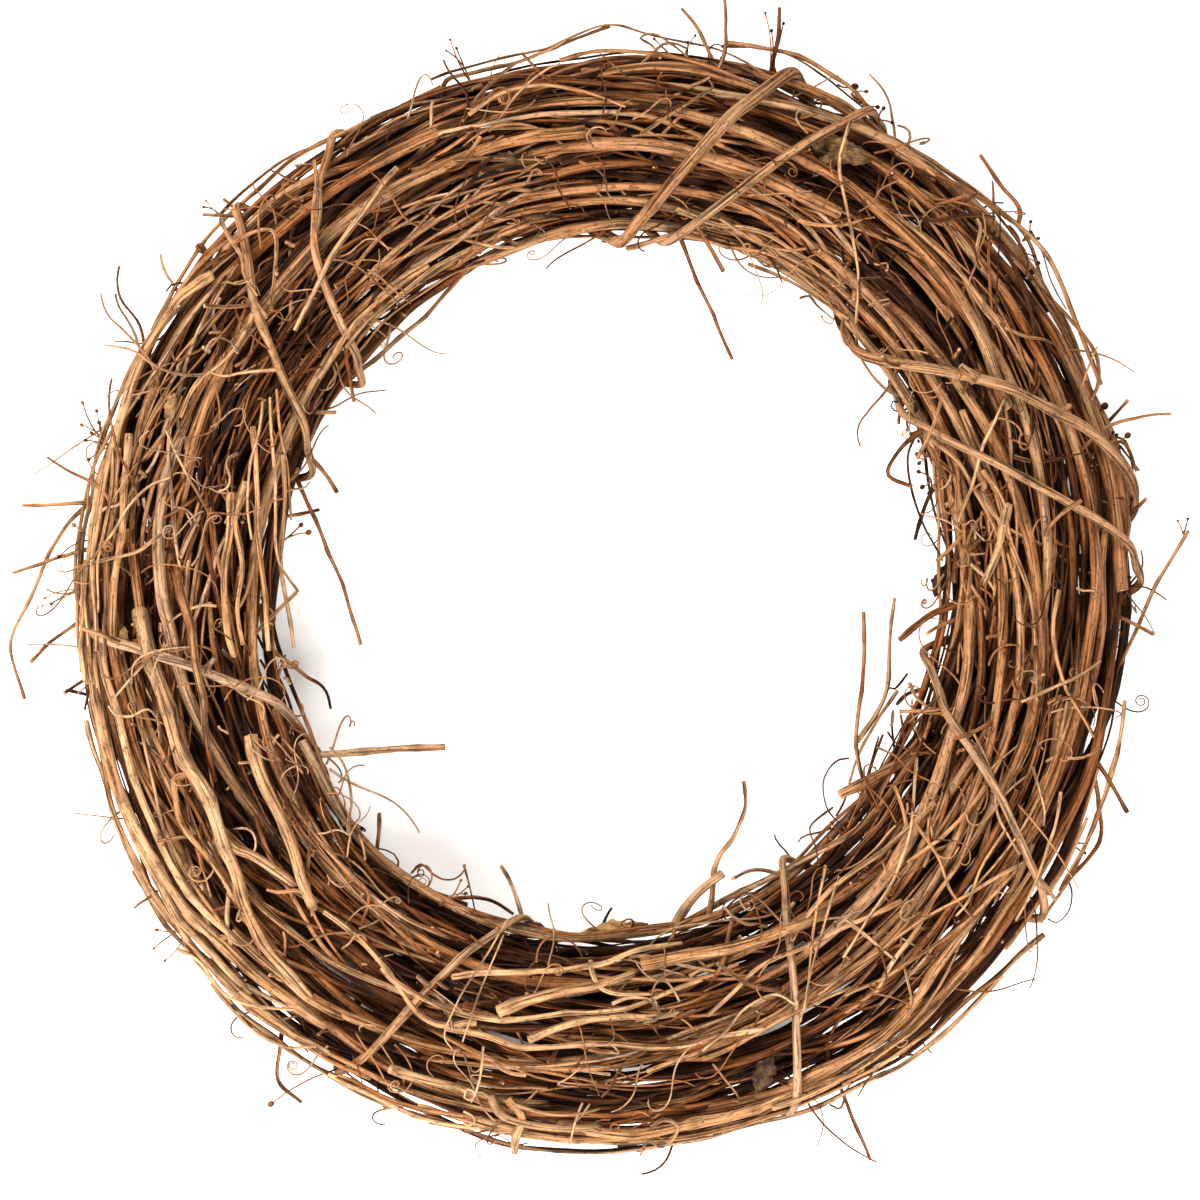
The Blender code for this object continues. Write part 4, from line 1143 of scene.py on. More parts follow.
# The dressed shoots: their surface, the distance between their joints, and how far those turn.
SHOOT_SPACING = 0.0022
SHOOT_SIDES = 9
SHOOT_RELIEF = 0.09
SHOOT_JOINTS = (0.014, 0.026)
SHOOT_TONES = (0.25, 0.85)
SHOOT_ACROSS = UP + [0.3, 0.2, 0]
LONG_SHOOT = 0.03
LONG_BEND = 0.0006
SHORT_BEND = 0.0002
TWIG_BARK = bark("twig bark", depth=0.0003, Fibre_width=2400.0, Wear=0.55)
shoot_draws = np.random.default_rng(404)
for radius, pixels in LIMBS:
    stem, parent = limb(stems, radius, pixels)
    stems.append(stem)
    owners.append(owners[parent])
for radius, level, pixels in SHOOTS:
    stem, parent = side_shoot(stems, radius, level, pixels)
    if stem is not None:
        stems.append(stem)
        owners.append(owners[parent])
grown = len(stems)
for _ in range(TENDRIL_TRIES):
    stem, parent = tendril(Runs(stems), draws)
    if stem is not None and parent < len(names):
        stems.append(stem)
        owners.append(owners[parent])
    if len(stems) == grown + TENDRILS:
        break

tops = []
twigs = []
for number in range(len(names), len(stems)):
    line, thick, way = smooth_line(stems[number].points, stems[number].radius, SHOOT_SPACING)
    joints = np.arange(0.3, 6) * shoot_draws.uniform(*SHOOT_JOINTS)
    bent = LONG_BEND if way[-1] > LONG_SHOOT else SHORT_BEND
    line = grown_line(line, way, SHOOT_ACROSS, joints, bent, bent, shoot_draws)
    tone = shoot_draws.uniform(*SHOOT_TONES)
    surface = bark_tube(
        line, thick, SHOOT_ACROSS, SHOOT_SIDES, joints, tone, shoot_draws, SHOOT_RELIEF
    )
    (tops if number < len(names) + len(LIMBS) else twigs).append(surface)
grew_on = [names[owner] for owner in owners[len(names):]]
make_piece("limbs", tops, THICK_BARK, sorted(set(grew_on[:len(LIMBS)])))
make_piece("side_shoots", twigs, TWIG_BARK, sorted(set(grew_on)))


# Knuckles. Old side branches of the binding vines, broken off close to the stem, each on a swollen
# foot. The same bark as the vines.

# Their steps, rise, joint and tone, and how much height counts in the choice of a vine's point.
KNUCKLE_STEPS = 14
KNUCKLE_RISE = 0.001
KNUCKLE_JOINT = 0.001
KNUCKLE_TONE = 0.95
UPPER_SIDE = 0.5

# The vine's number, the pixels of foot and tip, and the radii there in millimetres.
KNUCKLES = (
    (3, (972, 372), (956, 360), 2.8, 1.8),
    (3, (1061, 404), (1072, 396), 1.8, 1.1),
    (8, (214, 664), (224, 651), 1.9, 1.1),
    (5, (1012, 834), (1006, 822), 1.7, 1.2),
    (9, (264, 303), (277, 317), 1.6, 1.1),
    (7, (418, 962), (405, 950), 1.4, 0.9),
    (6, (788, 905), (796, 896), 1.5, 1.0),
)


def knuckle(vine, ends, first, last):
    """A stub on a vine, from its middle line outward, at the vine's own height.

    At the share t of its length the radius runs from the first to the last as (1 - t) ** 2 falls,
    so that the foot flares.
    """
    angle, across = from_pixels(ends)
    flat = to_world(angle, np.stack([across, half_size(angle)[:, 1]], axis=1))
    apart = np.linalg.norm(vine[:, :2] - flat[0, :2], axis=1)
    near = vine[np.argmin(apart - UPPER_SIDE * vine[:, 2])]
    part = np.linspace(0, 1, KNUCKLE_STEPS)[:, None]
    reach = flat[1] - flat[0]
    line = near[:3] + part * [reach[0], reach[1], KNUCKLE_RISE]
    return line, last + (first - last) * (1 - part[:, 0]) ** 2


stubs = []
joints = np.array([KNUCKLE_JOINT])
for number, foot, tip, first, last in KNUCKLES:
    line, thick = knuckle(vine_lines[number - 1], [foot, tip], first / 1000, last / 1000)
    stubs.append(
        bark_tube(line, thick, UP, VINE_SIDES, joints, KNUCKLE_TONE, vine_draws, SHOOT_RELIEF)
    )
make_piece("knuckles", stubs, VINE_BARK)


# Thin canes. The side stems and tips of the vine, wound in with the canes and caught between them.
# They fill the ring, and some run loose along its inner and outer edges.

# Their number, size and surface, how they drift and wander, and the share that runs loose.
THIN_CANES = 175
THIN_RADIUS = (0.0005, 0.0014)
THIN_TURNS = (0.22, 1.0)
THIN_DRIFT = 1.3
THIN_SPACING = 0.0060
THIN_SIDES = 6
THIN_GROUPS = 3
THIN_TAPER = 0.6
THIN_WANDER = 0.0012
THIN_ZIGZAG = 0.0010
THIN_TONES = (-0.05, 0.95)
LOOSE_SHARE = 0.15

# How deep they lie, as shares of the section, how they sway, and how they settle: rounds,
# stiffness, spare room, and reach of the pairs.
THIN_EDGE = 0.2
THIN_DEPTHS = (0.5, 1.0)
THIN_SWAY = 0.15
THIN_INMOST = 0.2
THIN_SETTLING = (40, 0.05, 0.0001, 0.009)
HELD_WEIGHT = 1e6

thin_draws = np.random.default_rng(402)
held = len(bundle.angle)
wound_count = bundle.count()
bundle.weight[:] = HELD_WEIGHT
for number in range(THIN_CANES):
    way = np.arange(int(round(thin_draws.uniform(*THIN_TURNS) * STEPS_PER_TURN)) + 1) * STEP
    angle = thin_draws.uniform(0, 2 * math.pi) + way
    sway = SWAY * slow_wave(way, thin_draws)
    turned = thin_draws.uniform(0, 2 * math.pi)
    turned = turned + thin_draws.uniform(-THIN_DRIFT, THIN_DRIFT) * way + sway
    edge = 1 - THIN_EDGE * np.cos(turned) ** 4
    depth = edge * thin_draws.uniform(*THIN_DEPTHS) ** 0.5
    depth = depth + THIN_SWAY * np.sin(3 * way + thin_draws.uniform(0, PHASE_SPAN))
    if number < LOOSE_SHARE * THIN_CANES:
        depth = np.full(len(way), 1.0)
    lane = np.stack([np.cos(turned), np.sin(turned)], axis=1)
    place = np.clip(depth, THIN_INMOST, 1.0)[:, None] * lane * half_size(angle)
    radius = thin_draws.uniform(0, 1) ** 1.5 * (THIN_RADIUS[1] - THIN_RADIUS[0]) + THIN_RADIUS[0]
    bundle.add(angle, place, np.linspace(1, THIN_TAPER, len(way)) * radius, 1.0)
settle(bundle, *THIN_SETTLING, held)
thin_stems = wound_stems(range(wound_count, bundle.count()))
THIN_BARK = bark("thin cane bark", depth=0.0003, Fibre_width=2400.0, Wear=0.4)
for group in range(THIN_GROUPS):
    surfaces = []
    for stem in thin_stems[group::THIN_GROUPS]:
        line, thick, way = smooth_line(stem.points, stem.radius, THIN_SPACING)
        joints = joints_along(way[-1], thin_draws)
        line = grown_line(line, way, UP, joints, THIN_WANDER, THIN_ZIGZAG, thin_draws)
        line = duck(line, thick)
        tone = thin_draws.uniform(*THIN_TONES)
        surfaces.append(bark_tube(line, thick, UP, THIN_SIDES, joints, tone, thin_draws))
    make_piece(f"thin_canes_{group + 1}", surfaces, THIN_BARK)


# Tendrils. The curling holdfasts of the vine, dried stiff where they last gripped. They sit all
# over the face and the edges of the ring, and many end in a coil.

# Their number, size and surface, and the tones and heights that they keep to.
WILD_TENDRILS = 400
WILD_LENGTH = (0.014, 0.046)
WILD_RADIUS = (0.00034, 0.00060)
WILD_TAPER = 0.6
WILD_SPACING = 0.0012
WILD_SIDES = 5
WILD_GROUPS = 3
WILD_TONES = (0.15, 1.0)
TWIG_HEIGHTS = (0.002, 0.100)

# Where twigs grow: places tried for each, how far out in the section it lies for tendrils, how
# low it may be, and the share of places that is kept beyond the start of the edge.
PERCH_TRIES = 40
WILD_OUTSIDE = 0.80
LOWEST_PERCH = -0.3
EDGE_FROM = 0.85
EDGE_SHARE = 0.5

# How many turns a tendril coils through, the share of them that does, how late it coils, and how
# its line sways and drifts.
WILD_COILS = (0.12, 0.45, 0.9, 1.6, 2.2)
COIL_SHARES = (0.32, 0.26, 0.18, 0.15, 0.09)
WILD_POWER = (2.6, 5.0)
CURL_SWAY = 0.5
CURL_WAVE = 5
CURL_DRIFT = 0.35

wild = np.random.default_rng(405)
wound = to_world(bundle.angle, bundle.place)
starts, _ = bundle.run_starts()


def perches(count, least, rng):
    """Places on stems near the outside of the ring: each with the ways outward and round the ring.

    A place counts as outside where its distance from the section's middle, as a share of the
    section's size, is at least the least share.
    """
    first = rng.choice(starts, PERCH_TRIES * count)
    share = rng.uniform(0, 1, len(first))[:, None]
    angle = bundle.angle[first] + share[:, 0] * STEP
    place = (1 - share) * bundle.place[first] + share * bundle.place[first + 1]
    part = place / half_size(angle)
    keep = (np.linalg.norm(part, axis=1) > least) & (part[:, 1] > LOWEST_PERCH)
    keep &= (np.abs(part[:, 0]) < EDGE_FROM) | (rng.uniform(0, 1, len(first)) < EDGE_SHARE)
    chosen = np.nonzero(keep)[0][:count]
    spot = ((1 - share) * wound[first] + share * wound[first + 1])[chosen]
    angle, part = angle[chosen], part[chosen]
    out, up = part[:, 0], part[:, 1]
    outward = np.stack([out * np.cos(angle), out * np.sin(angle), up], axis=1)
    around = np.stack([-np.sin(angle), np.cos(angle), np.zeros(len(angle))], axis=1)
    return spot, unit(outward), around * rng.choice([-1, 1], len(angle))[:, None]


def curl(root, ahead, bend, length, coils, power, spacing, rng):
    """The line of a tendril: an arc that tightens into a coil.

    Its direction at the share u of its length turns by the angle 2 pi c u^p, plus a slow sway of
    a sin(b u + q), in the plane of ahead and bend. It drifts a little out of that plane.
    """
    count = max(6, int(length / spacing))
    part = np.linspace(0, 1, count)[:, None]
    phase = rng.uniform(0, 2 * math.pi)
    sway = CURL_SWAY * (np.sin(CURL_WAVE * part + phase) - math.sin(phase))
    angle = 2 * math.pi * coils * part ** power + sway
    drift = rng.uniform(-CURL_DRIFT, CURL_DRIFT) * part * np.cross(ahead, bend)
    step = np.cos(angle) * ahead + np.sin(angle) * bend + drift
    return root + np.cumsum(step, axis=0) * length / count


def twig_surface(line, first, last, sides, tone, rng, across, relief=0.08):
    """The surface of a thin stem along a line, from its first radius to its last."""
    thick = np.linspace(first, last, len(line))
    return bark_tube(line, thick, across, sides, np.zeros(0), tone, rng, relief)


spots, outwards, arounds = perches(WILD_TENDRILS, WILD_OUTSIDE, wild)
TENDRIL_BARK = bark("tendril bark", depth=0.0002, Fibre_width=2600.0, Fibre_length=160.0, Wear=0.5)
curls = []
for spot, outward, around in zip(spots, outwards, arounds):
    side = np.cross(outward, around)
    ahead = around * wild.uniform(0.2, 1) + outward * wild.uniform(0.05, 0.9)
    ahead = unit(ahead + side * wild.normal(0, 0.7))
    bend = unit(np.cross(ahead, outward + wild.normal(0, 0.5, 3)))
    length = wild.uniform(*WILD_LENGTH)
    coils = wild.choice(WILD_COILS, p=COIL_SHARES)
    power = wild.uniform(*WILD_POWER)
    line = curl(spot, ahead, bend, length, coils, power, WILD_SPACING, wild)
    line[:, 2] = np.clip(line[:, 2], *TWIG_HEIGHTS)
    radius = wild.uniform(*WILD_RADIUS)
    tone = wild.uniform(*WILD_TONES)
    tip = WILD_TAPER * radius
    curls.append(twig_surface(line, radius, tip, WILD_SIDES, tone, wild, np.cross(ahead, bend)))
for group in range(WILD_GROUPS):
    make_piece(f"tendrils_{group + 1}", curls[group::WILD_GROUPS], TENDRIL_BARK)


# Twiglets. Thin side twigs that cross the canes at a slant, stubs left where twigs broke off, and
# fine loose strands along the edges. Each starts on a stem and bends a little at its joints.
TWIGLETS = 380
TWIGLET_OUTSIDE = 0.78
TWIGLET_LENGTH = (0.018, 0.075)
TWIGLET_RADIUS = (0.0005, 0.0011)
TWIGLET_SPACING = 0.0030
TWIGLET_SIDES = 6
TWIGLET_TAPER = 0.6
TWIGLET_COILS = 0.10
TWIGLET_POWER = 1.5
TWIGLET_JOINTS = (0.010, 0.022)
TWIGLET_KINKS = 8
TWIGLET_WANDER = 0.0006
TWIGLET_ZIGZAG = 0.0008
TWIGLET_DROOP = 0.12
TWIGLET_TONES = (0.0, 1.05)

# The stubs of broken twigs.
STUBS = 120
STUB_OUTSIDE = 0.70
STUB_LENGTH = (0.003, 0.009)
STUB_RADIUS = (0.0006, 0.0011)
STUB_SPACING = 0.0012
STUB_COILS = 0.05
STUB_RELIEF = 0.12
STUB_TAPER = 0.8
STUB_TONES = (0.1, 0.9)

slants = np.random.default_rng(406)
spots, outwards, arounds = perches(TWIGLETS, TWIGLET_OUTSIDE, slants)
twiglets = []
for spot, outward, around in zip(spots, outwards, arounds):
    side = np.cross(outward, around)
    length = TWIGLET_LENGTH[0] + slants.uniform(0, 1) ** 2 * (TWIGLET_LENGTH[1] - TWIGLET_LENGTH[0])
    ahead = unit(around + outward * slants.uniform(0.0, 0.35) + side * slants.normal(0, 0.45))
    bend = unit(np.cross(ahead, slants.normal(0, 1, 3)))
    coils = slants.uniform(0, TWIGLET_COILS)
    line = curl(spot, ahead, bend, length, coils, TWIGLET_POWER, TWIGLET_SPACING, slants)
    section = unit(line[-1] * [1, 1, 0])
    part = np.linspace(0, 1, len(line))[:, None]
    line = line - part ** 2 * TWIGLET_DROOP * length * (outward - 0.5 * section)
    kinks = np.cumsum(slants.uniform(*TWIGLET_JOINTS, TWIGLET_KINKS))
    way = np.linspace(0, length, len(line))
    across = np.cross(ahead, bend)
    line = grown_line(line, way, across, kinks, TWIGLET_WANDER, TWIGLET_ZIGZAG, slants)
    line[:, 2] = np.clip(line[:, 2], *TWIG_HEIGHTS)
    radius = slants.uniform(*TWIGLET_RADIUS)
    line = duck(line, radius)
    tone = slants.uniform(*TWIGLET_TONES)
    tip = TWIGLET_TAPER * radius
    twiglets.append(twig_surface(line, radius, tip, TWIGLET_SIDES, tone, slants, across))
spots, outwards, arounds = perches(STUBS, STUB_OUTSIDE, slants)
for spot, outward, around in zip(spots, outwards, arounds):
    ahead = unit(around * slants.uniform(0.3, 1.2) + outward + slants.normal(0, 0.4, 3))
    bend = unit(np.cross(ahead, slants.normal(0, 1, 3)))
    length = slants.uniform(*STUB_LENGTH)
    line = curl(spot, ahead, bend, length, STUB_COILS, TWIGLET_POWER, STUB_SPACING, slants)
    line[:, 2] = np.clip(line[:, 2], *TWIG_HEIGHTS)
    radius = slants.uniform(*STUB_RADIUS)
    tone = slants.uniform(*STUB_TONES)
    tip = STUB_TAPER * radius
    across = np.cross(ahead, bend)
    twiglets.append(
        twig_surface(line, radius, tip, TWIGLET_SIDES, tone, slants, across, STUB_RELIEF)
    )
make_piece("twiglets_1", twiglets[::2], TWIG_BARK)
make_piece("twiglets_2", twiglets[1::2], TWIG_BARK)


# Loose strands. Single thin canes and straws that lie over the face, cut cane ends, loops that
# stand off the edges, and wiry curls. Each follows its own pixels of the photograph.
STRAND_SPACING = 0.0020
STRAND_SIDES = (6, 12)
STRAND_TAPER = 0.75
STRAND_RELIEF = 0.08
STRAND_JOINTS = (0.018, 0.035)
STRAND_BEND = 0.0007
STRAND_ACROSS = UP + [0.2, 0.1, 0]
FACE_WIDTH = 1.12

# A strand thicker than this has its tip tucked in, that deep, and past that length its butt too.
# Below the radius of a thin strand it has fewer sides and turns less at its joints.
THICK_STRAND = 0.0014
TUCKED = 0.007
LONG_STRAND = 0.11
THIN_STRAND = 0.001

# Radius in millimetres, tone from dark to pale, height over the face in millimetres, and pixels.
STRANDS = (
    (1.15, 0.90, 1.5, (400, 173, 368, 214, 338, 260, 320, 292, 299, 334)),
    (1.15, 0.72, 1.5, (258, 318, 242, 347, 226, 370, 201, 393, 187, 420)),
    (0.90, 0.62, 1.6, (236, 248, 253, 237, 270, 233, 280, 241, 279, 279, 276, 315)),
    (0.70, 0.80, 2.4, (283, 373, 247, 377, 231, 380, 215, 376)),
    (1.00, 0.68, 1.4, (219, 217, 242, 260, 247, 279, 262, 300)),
    (2.20, 0.74, 0.6, (216, 278, 196, 290, 175, 306, 159, 341, 139, 380, 125, 420, 118, 470)),
    (0.55, 1.15, 2.8, (117, 704, 124, 713, 141, 715, 157, 708, 167, 718, 167, 727, 160, 734)),
    (0.60, 1.10, 2.4, (159, 655, 140, 677, 122, 697)),
    (0.50, 1.10, 2.6, (233, 678, 249, 694, 268, 704, 268, 718)),
    (1.50, 0.55, 0.4, (194, 771, 182, 776, 184, 800, 192, 822, 210, 848, 228, 872, 246, 900)),
    (2.60, 0.74, 1.0, (256, 733, 266, 768, 280, 806, 296, 845, 306, 872, 318, 902)),
    (2.50, 0.62, 1.6, (641, 958, 662, 955, 700, 948, 740, 939, 783, 926, 822, 908)),
    (1.10, 0.80, 0.8, (627, 246, 676, 235, 729, 247, 770, 258, 821, 286, 856, 321)),
    (0.80, 0.85, 0.6, (749, 262, 790, 280, 813, 294, 848, 319)),
    (0.70, 0.60, 1.0, (719, 221, 750, 239, 782, 251, 805, 251)),
    (1.00, 0.75, 0.4, (676, 211, 715, 227, 762, 235, 797, 255, 821, 270, 844, 290)),
    (0.60, 0.90, 0.0, (801, 296, 811, 294, 819, 304, 836, 318)),
    (2.40, 0.74, 1.0, (500, 1003, 530, 993, 570, 983, 604, 976, 634, 968)),
    (1.30, 0.72, 1.4, (479, 1013, 443, 1016, 417, 998, 389, 962, 364, 931, 330, 905)),
    (1.20, 0.74, 1.8, (387, 959, 402, 975, 440, 998, 479, 1008, 555, 1007, 619, 998, 700, 972)),
    (1.50, 0.78, 1.0, (530, 1030, 581, 1013, 619, 1010, 680, 1004)),
    (1.40, 0.72, 1.0, (448, 1018, 489, 1026, 530, 1036, 606, 1033, 683, 1036, 760, 1020)),
    (1.60, 0.76, 1.2, (493, 1087, 499, 1100, 512, 1110, 555, 1117, 600, 1119)),
    (0.55, 1.05, 3.2, (486, 1036, 484, 1064, 476, 1087, 468, 1088, 470, 1079, 478, 1083,
        474, 1092)),
    (0.50, 1.00, 3.0, (466, 1102, 474, 1106, 477, 1113, 470, 1117, 464, 1112)),
    (0.70, 1.00, 3.0, (612, 995, 627, 989, 645, 990, 657, 1000, 655, 1010, 643, 1012)),
    (1.00, 0.80, 2.0, (591, 955, 593, 965, 601, 979, 619, 986, 649, 986)),
    (0.42, 1.15, 4.0, (509, 916, 486, 952, 463, 988, 448, 1023, 456, 1039)),
    (0.42, 1.15, 4.4, (505, 930, 492, 960, 479, 995, 466, 1031)),
    (0.50, 1.15, 4.0, (583, 1092, 578, 1104, 575, 1115, 570, 1136)),
    (0.50, 1.10, 4.0, (590, 1093, 583, 1104, 577, 1110)),
    (0.60, 0.55, 0.0, (655, 1122, 657, 1130, 666, 1133, 675, 1128, 672, 1137, 664, 1145,
        637, 1153)),
    (1.00, 0.60, 0.0, (150, 330, 172, 290, 205, 240, 240, 200, 286, 160, 330, 135, 380, 108,
        440, 84)),
    (0.70, 0.35, 0.0, (217, 213, 235, 192, 258, 172, 290, 152, 325, 138)),
    (1.30, 0.78, 1.0, (455, 969, 488, 965, 530, 964, 567, 966, 604, 961, 638, 946, 681, 939)),
    (0.45, 0.15, 0.0, (412, 872, 421, 865, 433, 875, 443, 880, 455, 879, 464, 870, 463, 863,
        468, 880, 476, 911)),
    (0.80, 1.10, 3.0, (850, 119, 842, 145, 838, 167, 841, 205, 846, 238, 855, 281, 855, 324)),
    (0.60, 1.15, 3.0, (174, 433, 184, 456, 195, 478, 205, 496, 215, 513)),
    (0.70, 0.95, 2.0, (178, 480, 163, 486, 150, 496, 133, 515, 121, 533, 101, 557)),
    (0.75, 0.90, 2.4, (178, 530, 163, 540, 146, 553, 121, 560, 80, 568)),
    (0.70, 1.00, 2.0, (223, 606, 212, 605, 201, 608, 188, 614, 176, 623)),
    (0.60, 0.90, 2.4, (244, 456, 235, 460, 233, 469, 236, 480, 233, 490, 225, 493)),
    (0.90, 1.10, 2.8, (999, 401, 990, 422, 981, 442, 975, 463, 969, 483, 955, 522)),
    (2.20, 0.82, 0.8, (1003, 505, 998, 527, 994, 550, 981, 582)),
    (1.10, 0.72, 1.4, (978, 472, 997, 499, 1004, 536, 1020, 587, 1027, 655, 1030, 699)),
    (0.70, 0.10, 0.0, (914, 402, 921, 428, 928, 449, 932, 490, 939, 522, 952, 560)),
    (0.60, 0.10, 1.0, (916, 435, 911, 450, 910, 465, 914, 488, 926, 527, 942, 561)),
    (0.50, 0.30, 0.0, (912, 405, 903, 410, 894, 407, 894, 401, 900, 400)),
    (0.50, 0.35, 0.0, (1118, 440, 1125, 447, 1134, 459, 1143, 470)),
    (0.45, 0.25, 0.0, (1120, 436, 1130, 442, 1136, 470, 1137, 490, 1130, 520)),
    (0.80, 0.55, 1.0, (899, 691, 888, 705, 877, 720, 858, 756, 850, 785)),
    (0.50, 0.22, 0.0, (902, 715, 904, 737, 899, 750, 888, 770, 876, 797, 860, 821, 841, 841)),
    (0.45, 0.15, 1.0, (889, 733, 895, 743, 911, 750, 926, 752)),
    (0.50, 0.30, 0.5, (884, 735, 876, 758, 866, 782, 856, 805, 846, 825)),
    (0.45, 0.10, 0.0, (880, 737, 872, 762, 860, 797, 848, 821)),
    (0.55, 0.35, 1.0, (923, 711, 907, 731, 899, 750, 888, 772)),
    (0.50, 0.18, 0.0, (891, 770, 876, 782, 868, 794, 876, 809)),
    (0.45, 0.25, 0.0, (837, 817, 844, 805, 848, 794)),
    (0.50, 0.15, 0.5, (909, 674, 897, 689, 889, 690, 880, 712, 874, 730)),
    (0.50, 0.40, 1.5, (878, 748, 893, 756, 908, 770, 924, 778)),
    (0.45, 0.12, 0.0, (866, 800, 880, 788, 900, 780, 922, 776)),
    (0.80, 0.60, 1.0, (911, 684, 916, 698, 930, 710, 945, 716)),
    (0.42, 0.10, 1.0, (850, 759, 838, 761, 828, 772, 824, 787, 829, 810, 842, 826)),
    (0.42, 0.15, 0.5, (834, 808, 820, 818, 811, 829, 815, 845, 816, 862)),
    (0.75, 1.05, 3.0, (913, 756, 911, 776, 906, 819, 897, 850, 887, 878, 867, 909, 838, 950)),
    (1.10, 0.85, 1.6, (969, 810, 950, 858, 925, 902, 889, 955, 870, 985)),
    (0.60, 1.10, 2.6, (1025, 764, 1031, 785, 1037, 807, 1036, 822)),
    (0.42, 0.15, 0.0, (1068, 878, 1074, 893, 1071, 912, 1059, 924, 1050, 920)),
    (0.90, 0.75, 2.0, (841, 914, 860, 928, 889, 953)),
    (0.50, 0.70, 2.4, (923, 814, 922, 835, 930, 850, 944, 853, 952, 842)),
    (1.00, 0.72, 0.0, (884, 135, 929, 153, 953, 169, 994, 199, 1030, 233, 1051, 286, 1070, 312,
        1094, 351, 1099, 382, 1090, 400)),
    (0.80, 0.45, 0.3, (956, 183, 989, 205, 1003, 222, 1018, 245, 1026, 262, 1024, 280)),
    (0.95, 0.60, 0.0, (927, 157, 956, 188, 980, 229, 1001, 250, 1025, 267, 1047, 288, 1066, 312,
        1080, 345, 1086, 380)),
    (0.35, 0.30, 0.0, (1035, 229, 1046, 250, 1055, 280, 1070, 308)),
    (0.60, 0.50, 1.0, (430, 78, 455, 68, 510, 57, 545, 45, 575, 32, 610, 22, 650, 30, 720, 45,
        780, 85)),
    (0.55, 0.45, 1.0, (722, 42, 755, 44, 790, 52, 822, 70, 850, 92, 868, 108)),
    (0.55, 0.55, 2.0, (660, 60, 652, 42, 640, 34, 655, 30, 672, 40, 690, 62)),
    (0.90, 0.55, 1.2, (560, 62, 600, 52, 650, 55, 700, 66, 745, 84)),
    (0.80, 0.80, 2.0, (470, 120, 500, 100, 545, 92, 590, 98, 625, 112)),
    (0.70, 0.90, 2.2, (640, 140, 668, 120, 700, 100, 712, 92, 708, 84)),
    (1.00, 0.60, 1.4, (930, 440, 960, 470, 985, 520, 1000, 580, 996, 640)),
    (0.90, 0.80, 1.6, (1052, 590, 1046, 640, 1060, 690, 1088, 735)),
    (0.80, 0.95, 2.2, (1094, 660, 1070, 676, 1040, 690, 1014, 700)),
    (0.60, 0.95, 2.6, (700, 1040, 722, 1022, 741, 998, 770, 985, 790, 995)),
    (3.00, 0.64, 0.2, (146, 610, 157, 650, 169, 694, 186, 745, 210, 787, 231, 836, 243, 866,
        250, 896, 268, 928, 288, 958, 314, 990)),
    (2.10, 0.66, 0.0, (225, 824, 240, 842, 258, 850, 275, 860, 292, 872, 303, 882)),
    (2.60, 0.66, -0.6, (94, 640, 101, 690, 113, 740, 128, 792, 148, 838, 172, 880, 206, 926)),
    (2.80, 0.70, -3.6, (190, 906, 222, 936, 258, 968, 292, 994, 328, 1020)),
    (1.90, 0.72, -0.6, (105, 640, 116, 690, 130, 742, 150, 802, 178, 856, 212, 905, 252, 944)),
    (1.80, 0.62, -4.0, (238, 926, 272, 955, 310, 988, 346, 1012)),
    (1.80, 0.64, -5.0, (392, 1062, 420, 1072, 455, 1082, 500, 1092, 548, 1098)),
    (1.10, 0.72, 0.0, (88, 720, 99, 765, 114, 812, 136, 858, 165, 902, 200, 946, 240, 990)),
    (1.00, 0.62, -6.0, (130, 872, 158, 918, 192, 960, 230, 1001, 274, 1038, 320, 1068, 366, 1090)),
    (0.90, 0.66, -2.4, (186, 946, 214, 984, 252, 1024, 296, 1056, 342, 1082, 396, 1104, 450, 1120)),
    (0.80, 0.80, 0.8, (180, 946, 206, 958, 232, 988, 262, 1000, 300, 1002)),
    (0.80, 0.70, 0.0, (210, 985, 240, 1022, 262, 1040, 290, 1044, 320, 1040)),
    (1.20, 0.82, 0.0, (330, 1072, 380, 1096, 432, 1112, 490, 1124, 552, 1132, 610, 1136)),
    (1.00, 0.72, 0.0, (420, 1100, 470, 1114, 530, 1126, 590, 1134, 650, 1136, 712, 1130)),
    (1.40, 0.60, 0.0, (480, 1112, 540, 1126, 600, 1132, 668, 1134, 730, 1124, 786, 1108)),
    (0.90, 0.85, 0.0, (590, 1136, 640, 1138, 690, 1132, 745, 1120, 800, 1104, 850, 1082)),
    (1.80, 0.66, 0.2, (510, 1090, 524, 1108, 516, 1130, 515, 1150)),
    (0.70, 0.90, 0.2, (650, 1120, 662, 1112, 676, 1118, 672, 1132, 660, 1142, 648, 1134,
        640, 1150)),
    (2.40, 0.70, 0.0, (560, 1120, 600, 1124, 640, 1124, 700, 1116, 760, 1100, 820, 1082,
        860, 1066)),
    (0.90, 0.70, -0.6, (700, 1050, 740, 1034, 782, 1012, 818, 992, 846, 980)),
    (1.10, 0.62, -0.8, (646, 1062, 690, 1046, 730, 1028, 774, 1006, 812, 980, 838, 958)),
    (1.70, 0.62, 0.0, (96, 650, 103, 700, 114, 750, 128, 802, 149, 856, 178, 905, 214, 950,
        254, 990)),
    (1.40, 0.66, -2.4, (120, 790, 140, 846, 168, 898, 203, 945, 243, 987, 290, 1024, 332, 1048)),
    (1.20, 0.55, -7.0, (230, 985, 275, 1020, 325, 1048, 382, 1072, 440, 1092, 500, 1106)),
    (1.00, 0.35, 0.0, (94, 700, 106, 760, 124, 820, 150, 880, 186, 930, 222, 970)),
    (1.10, 0.40, -6.0, (150, 886, 182, 934, 222, 978, 266, 1016, 316, 1048, 372, 1074)),
    (1.20, 0.30, 0.0, (340, 1072, 400, 1094, 460, 1108, 524, 1120, 586, 1126)),
    (1.30, 0.50, 0.0, (90, 560, 90, 610, 95, 665, 104, 722, 118, 780, 138, 836)),
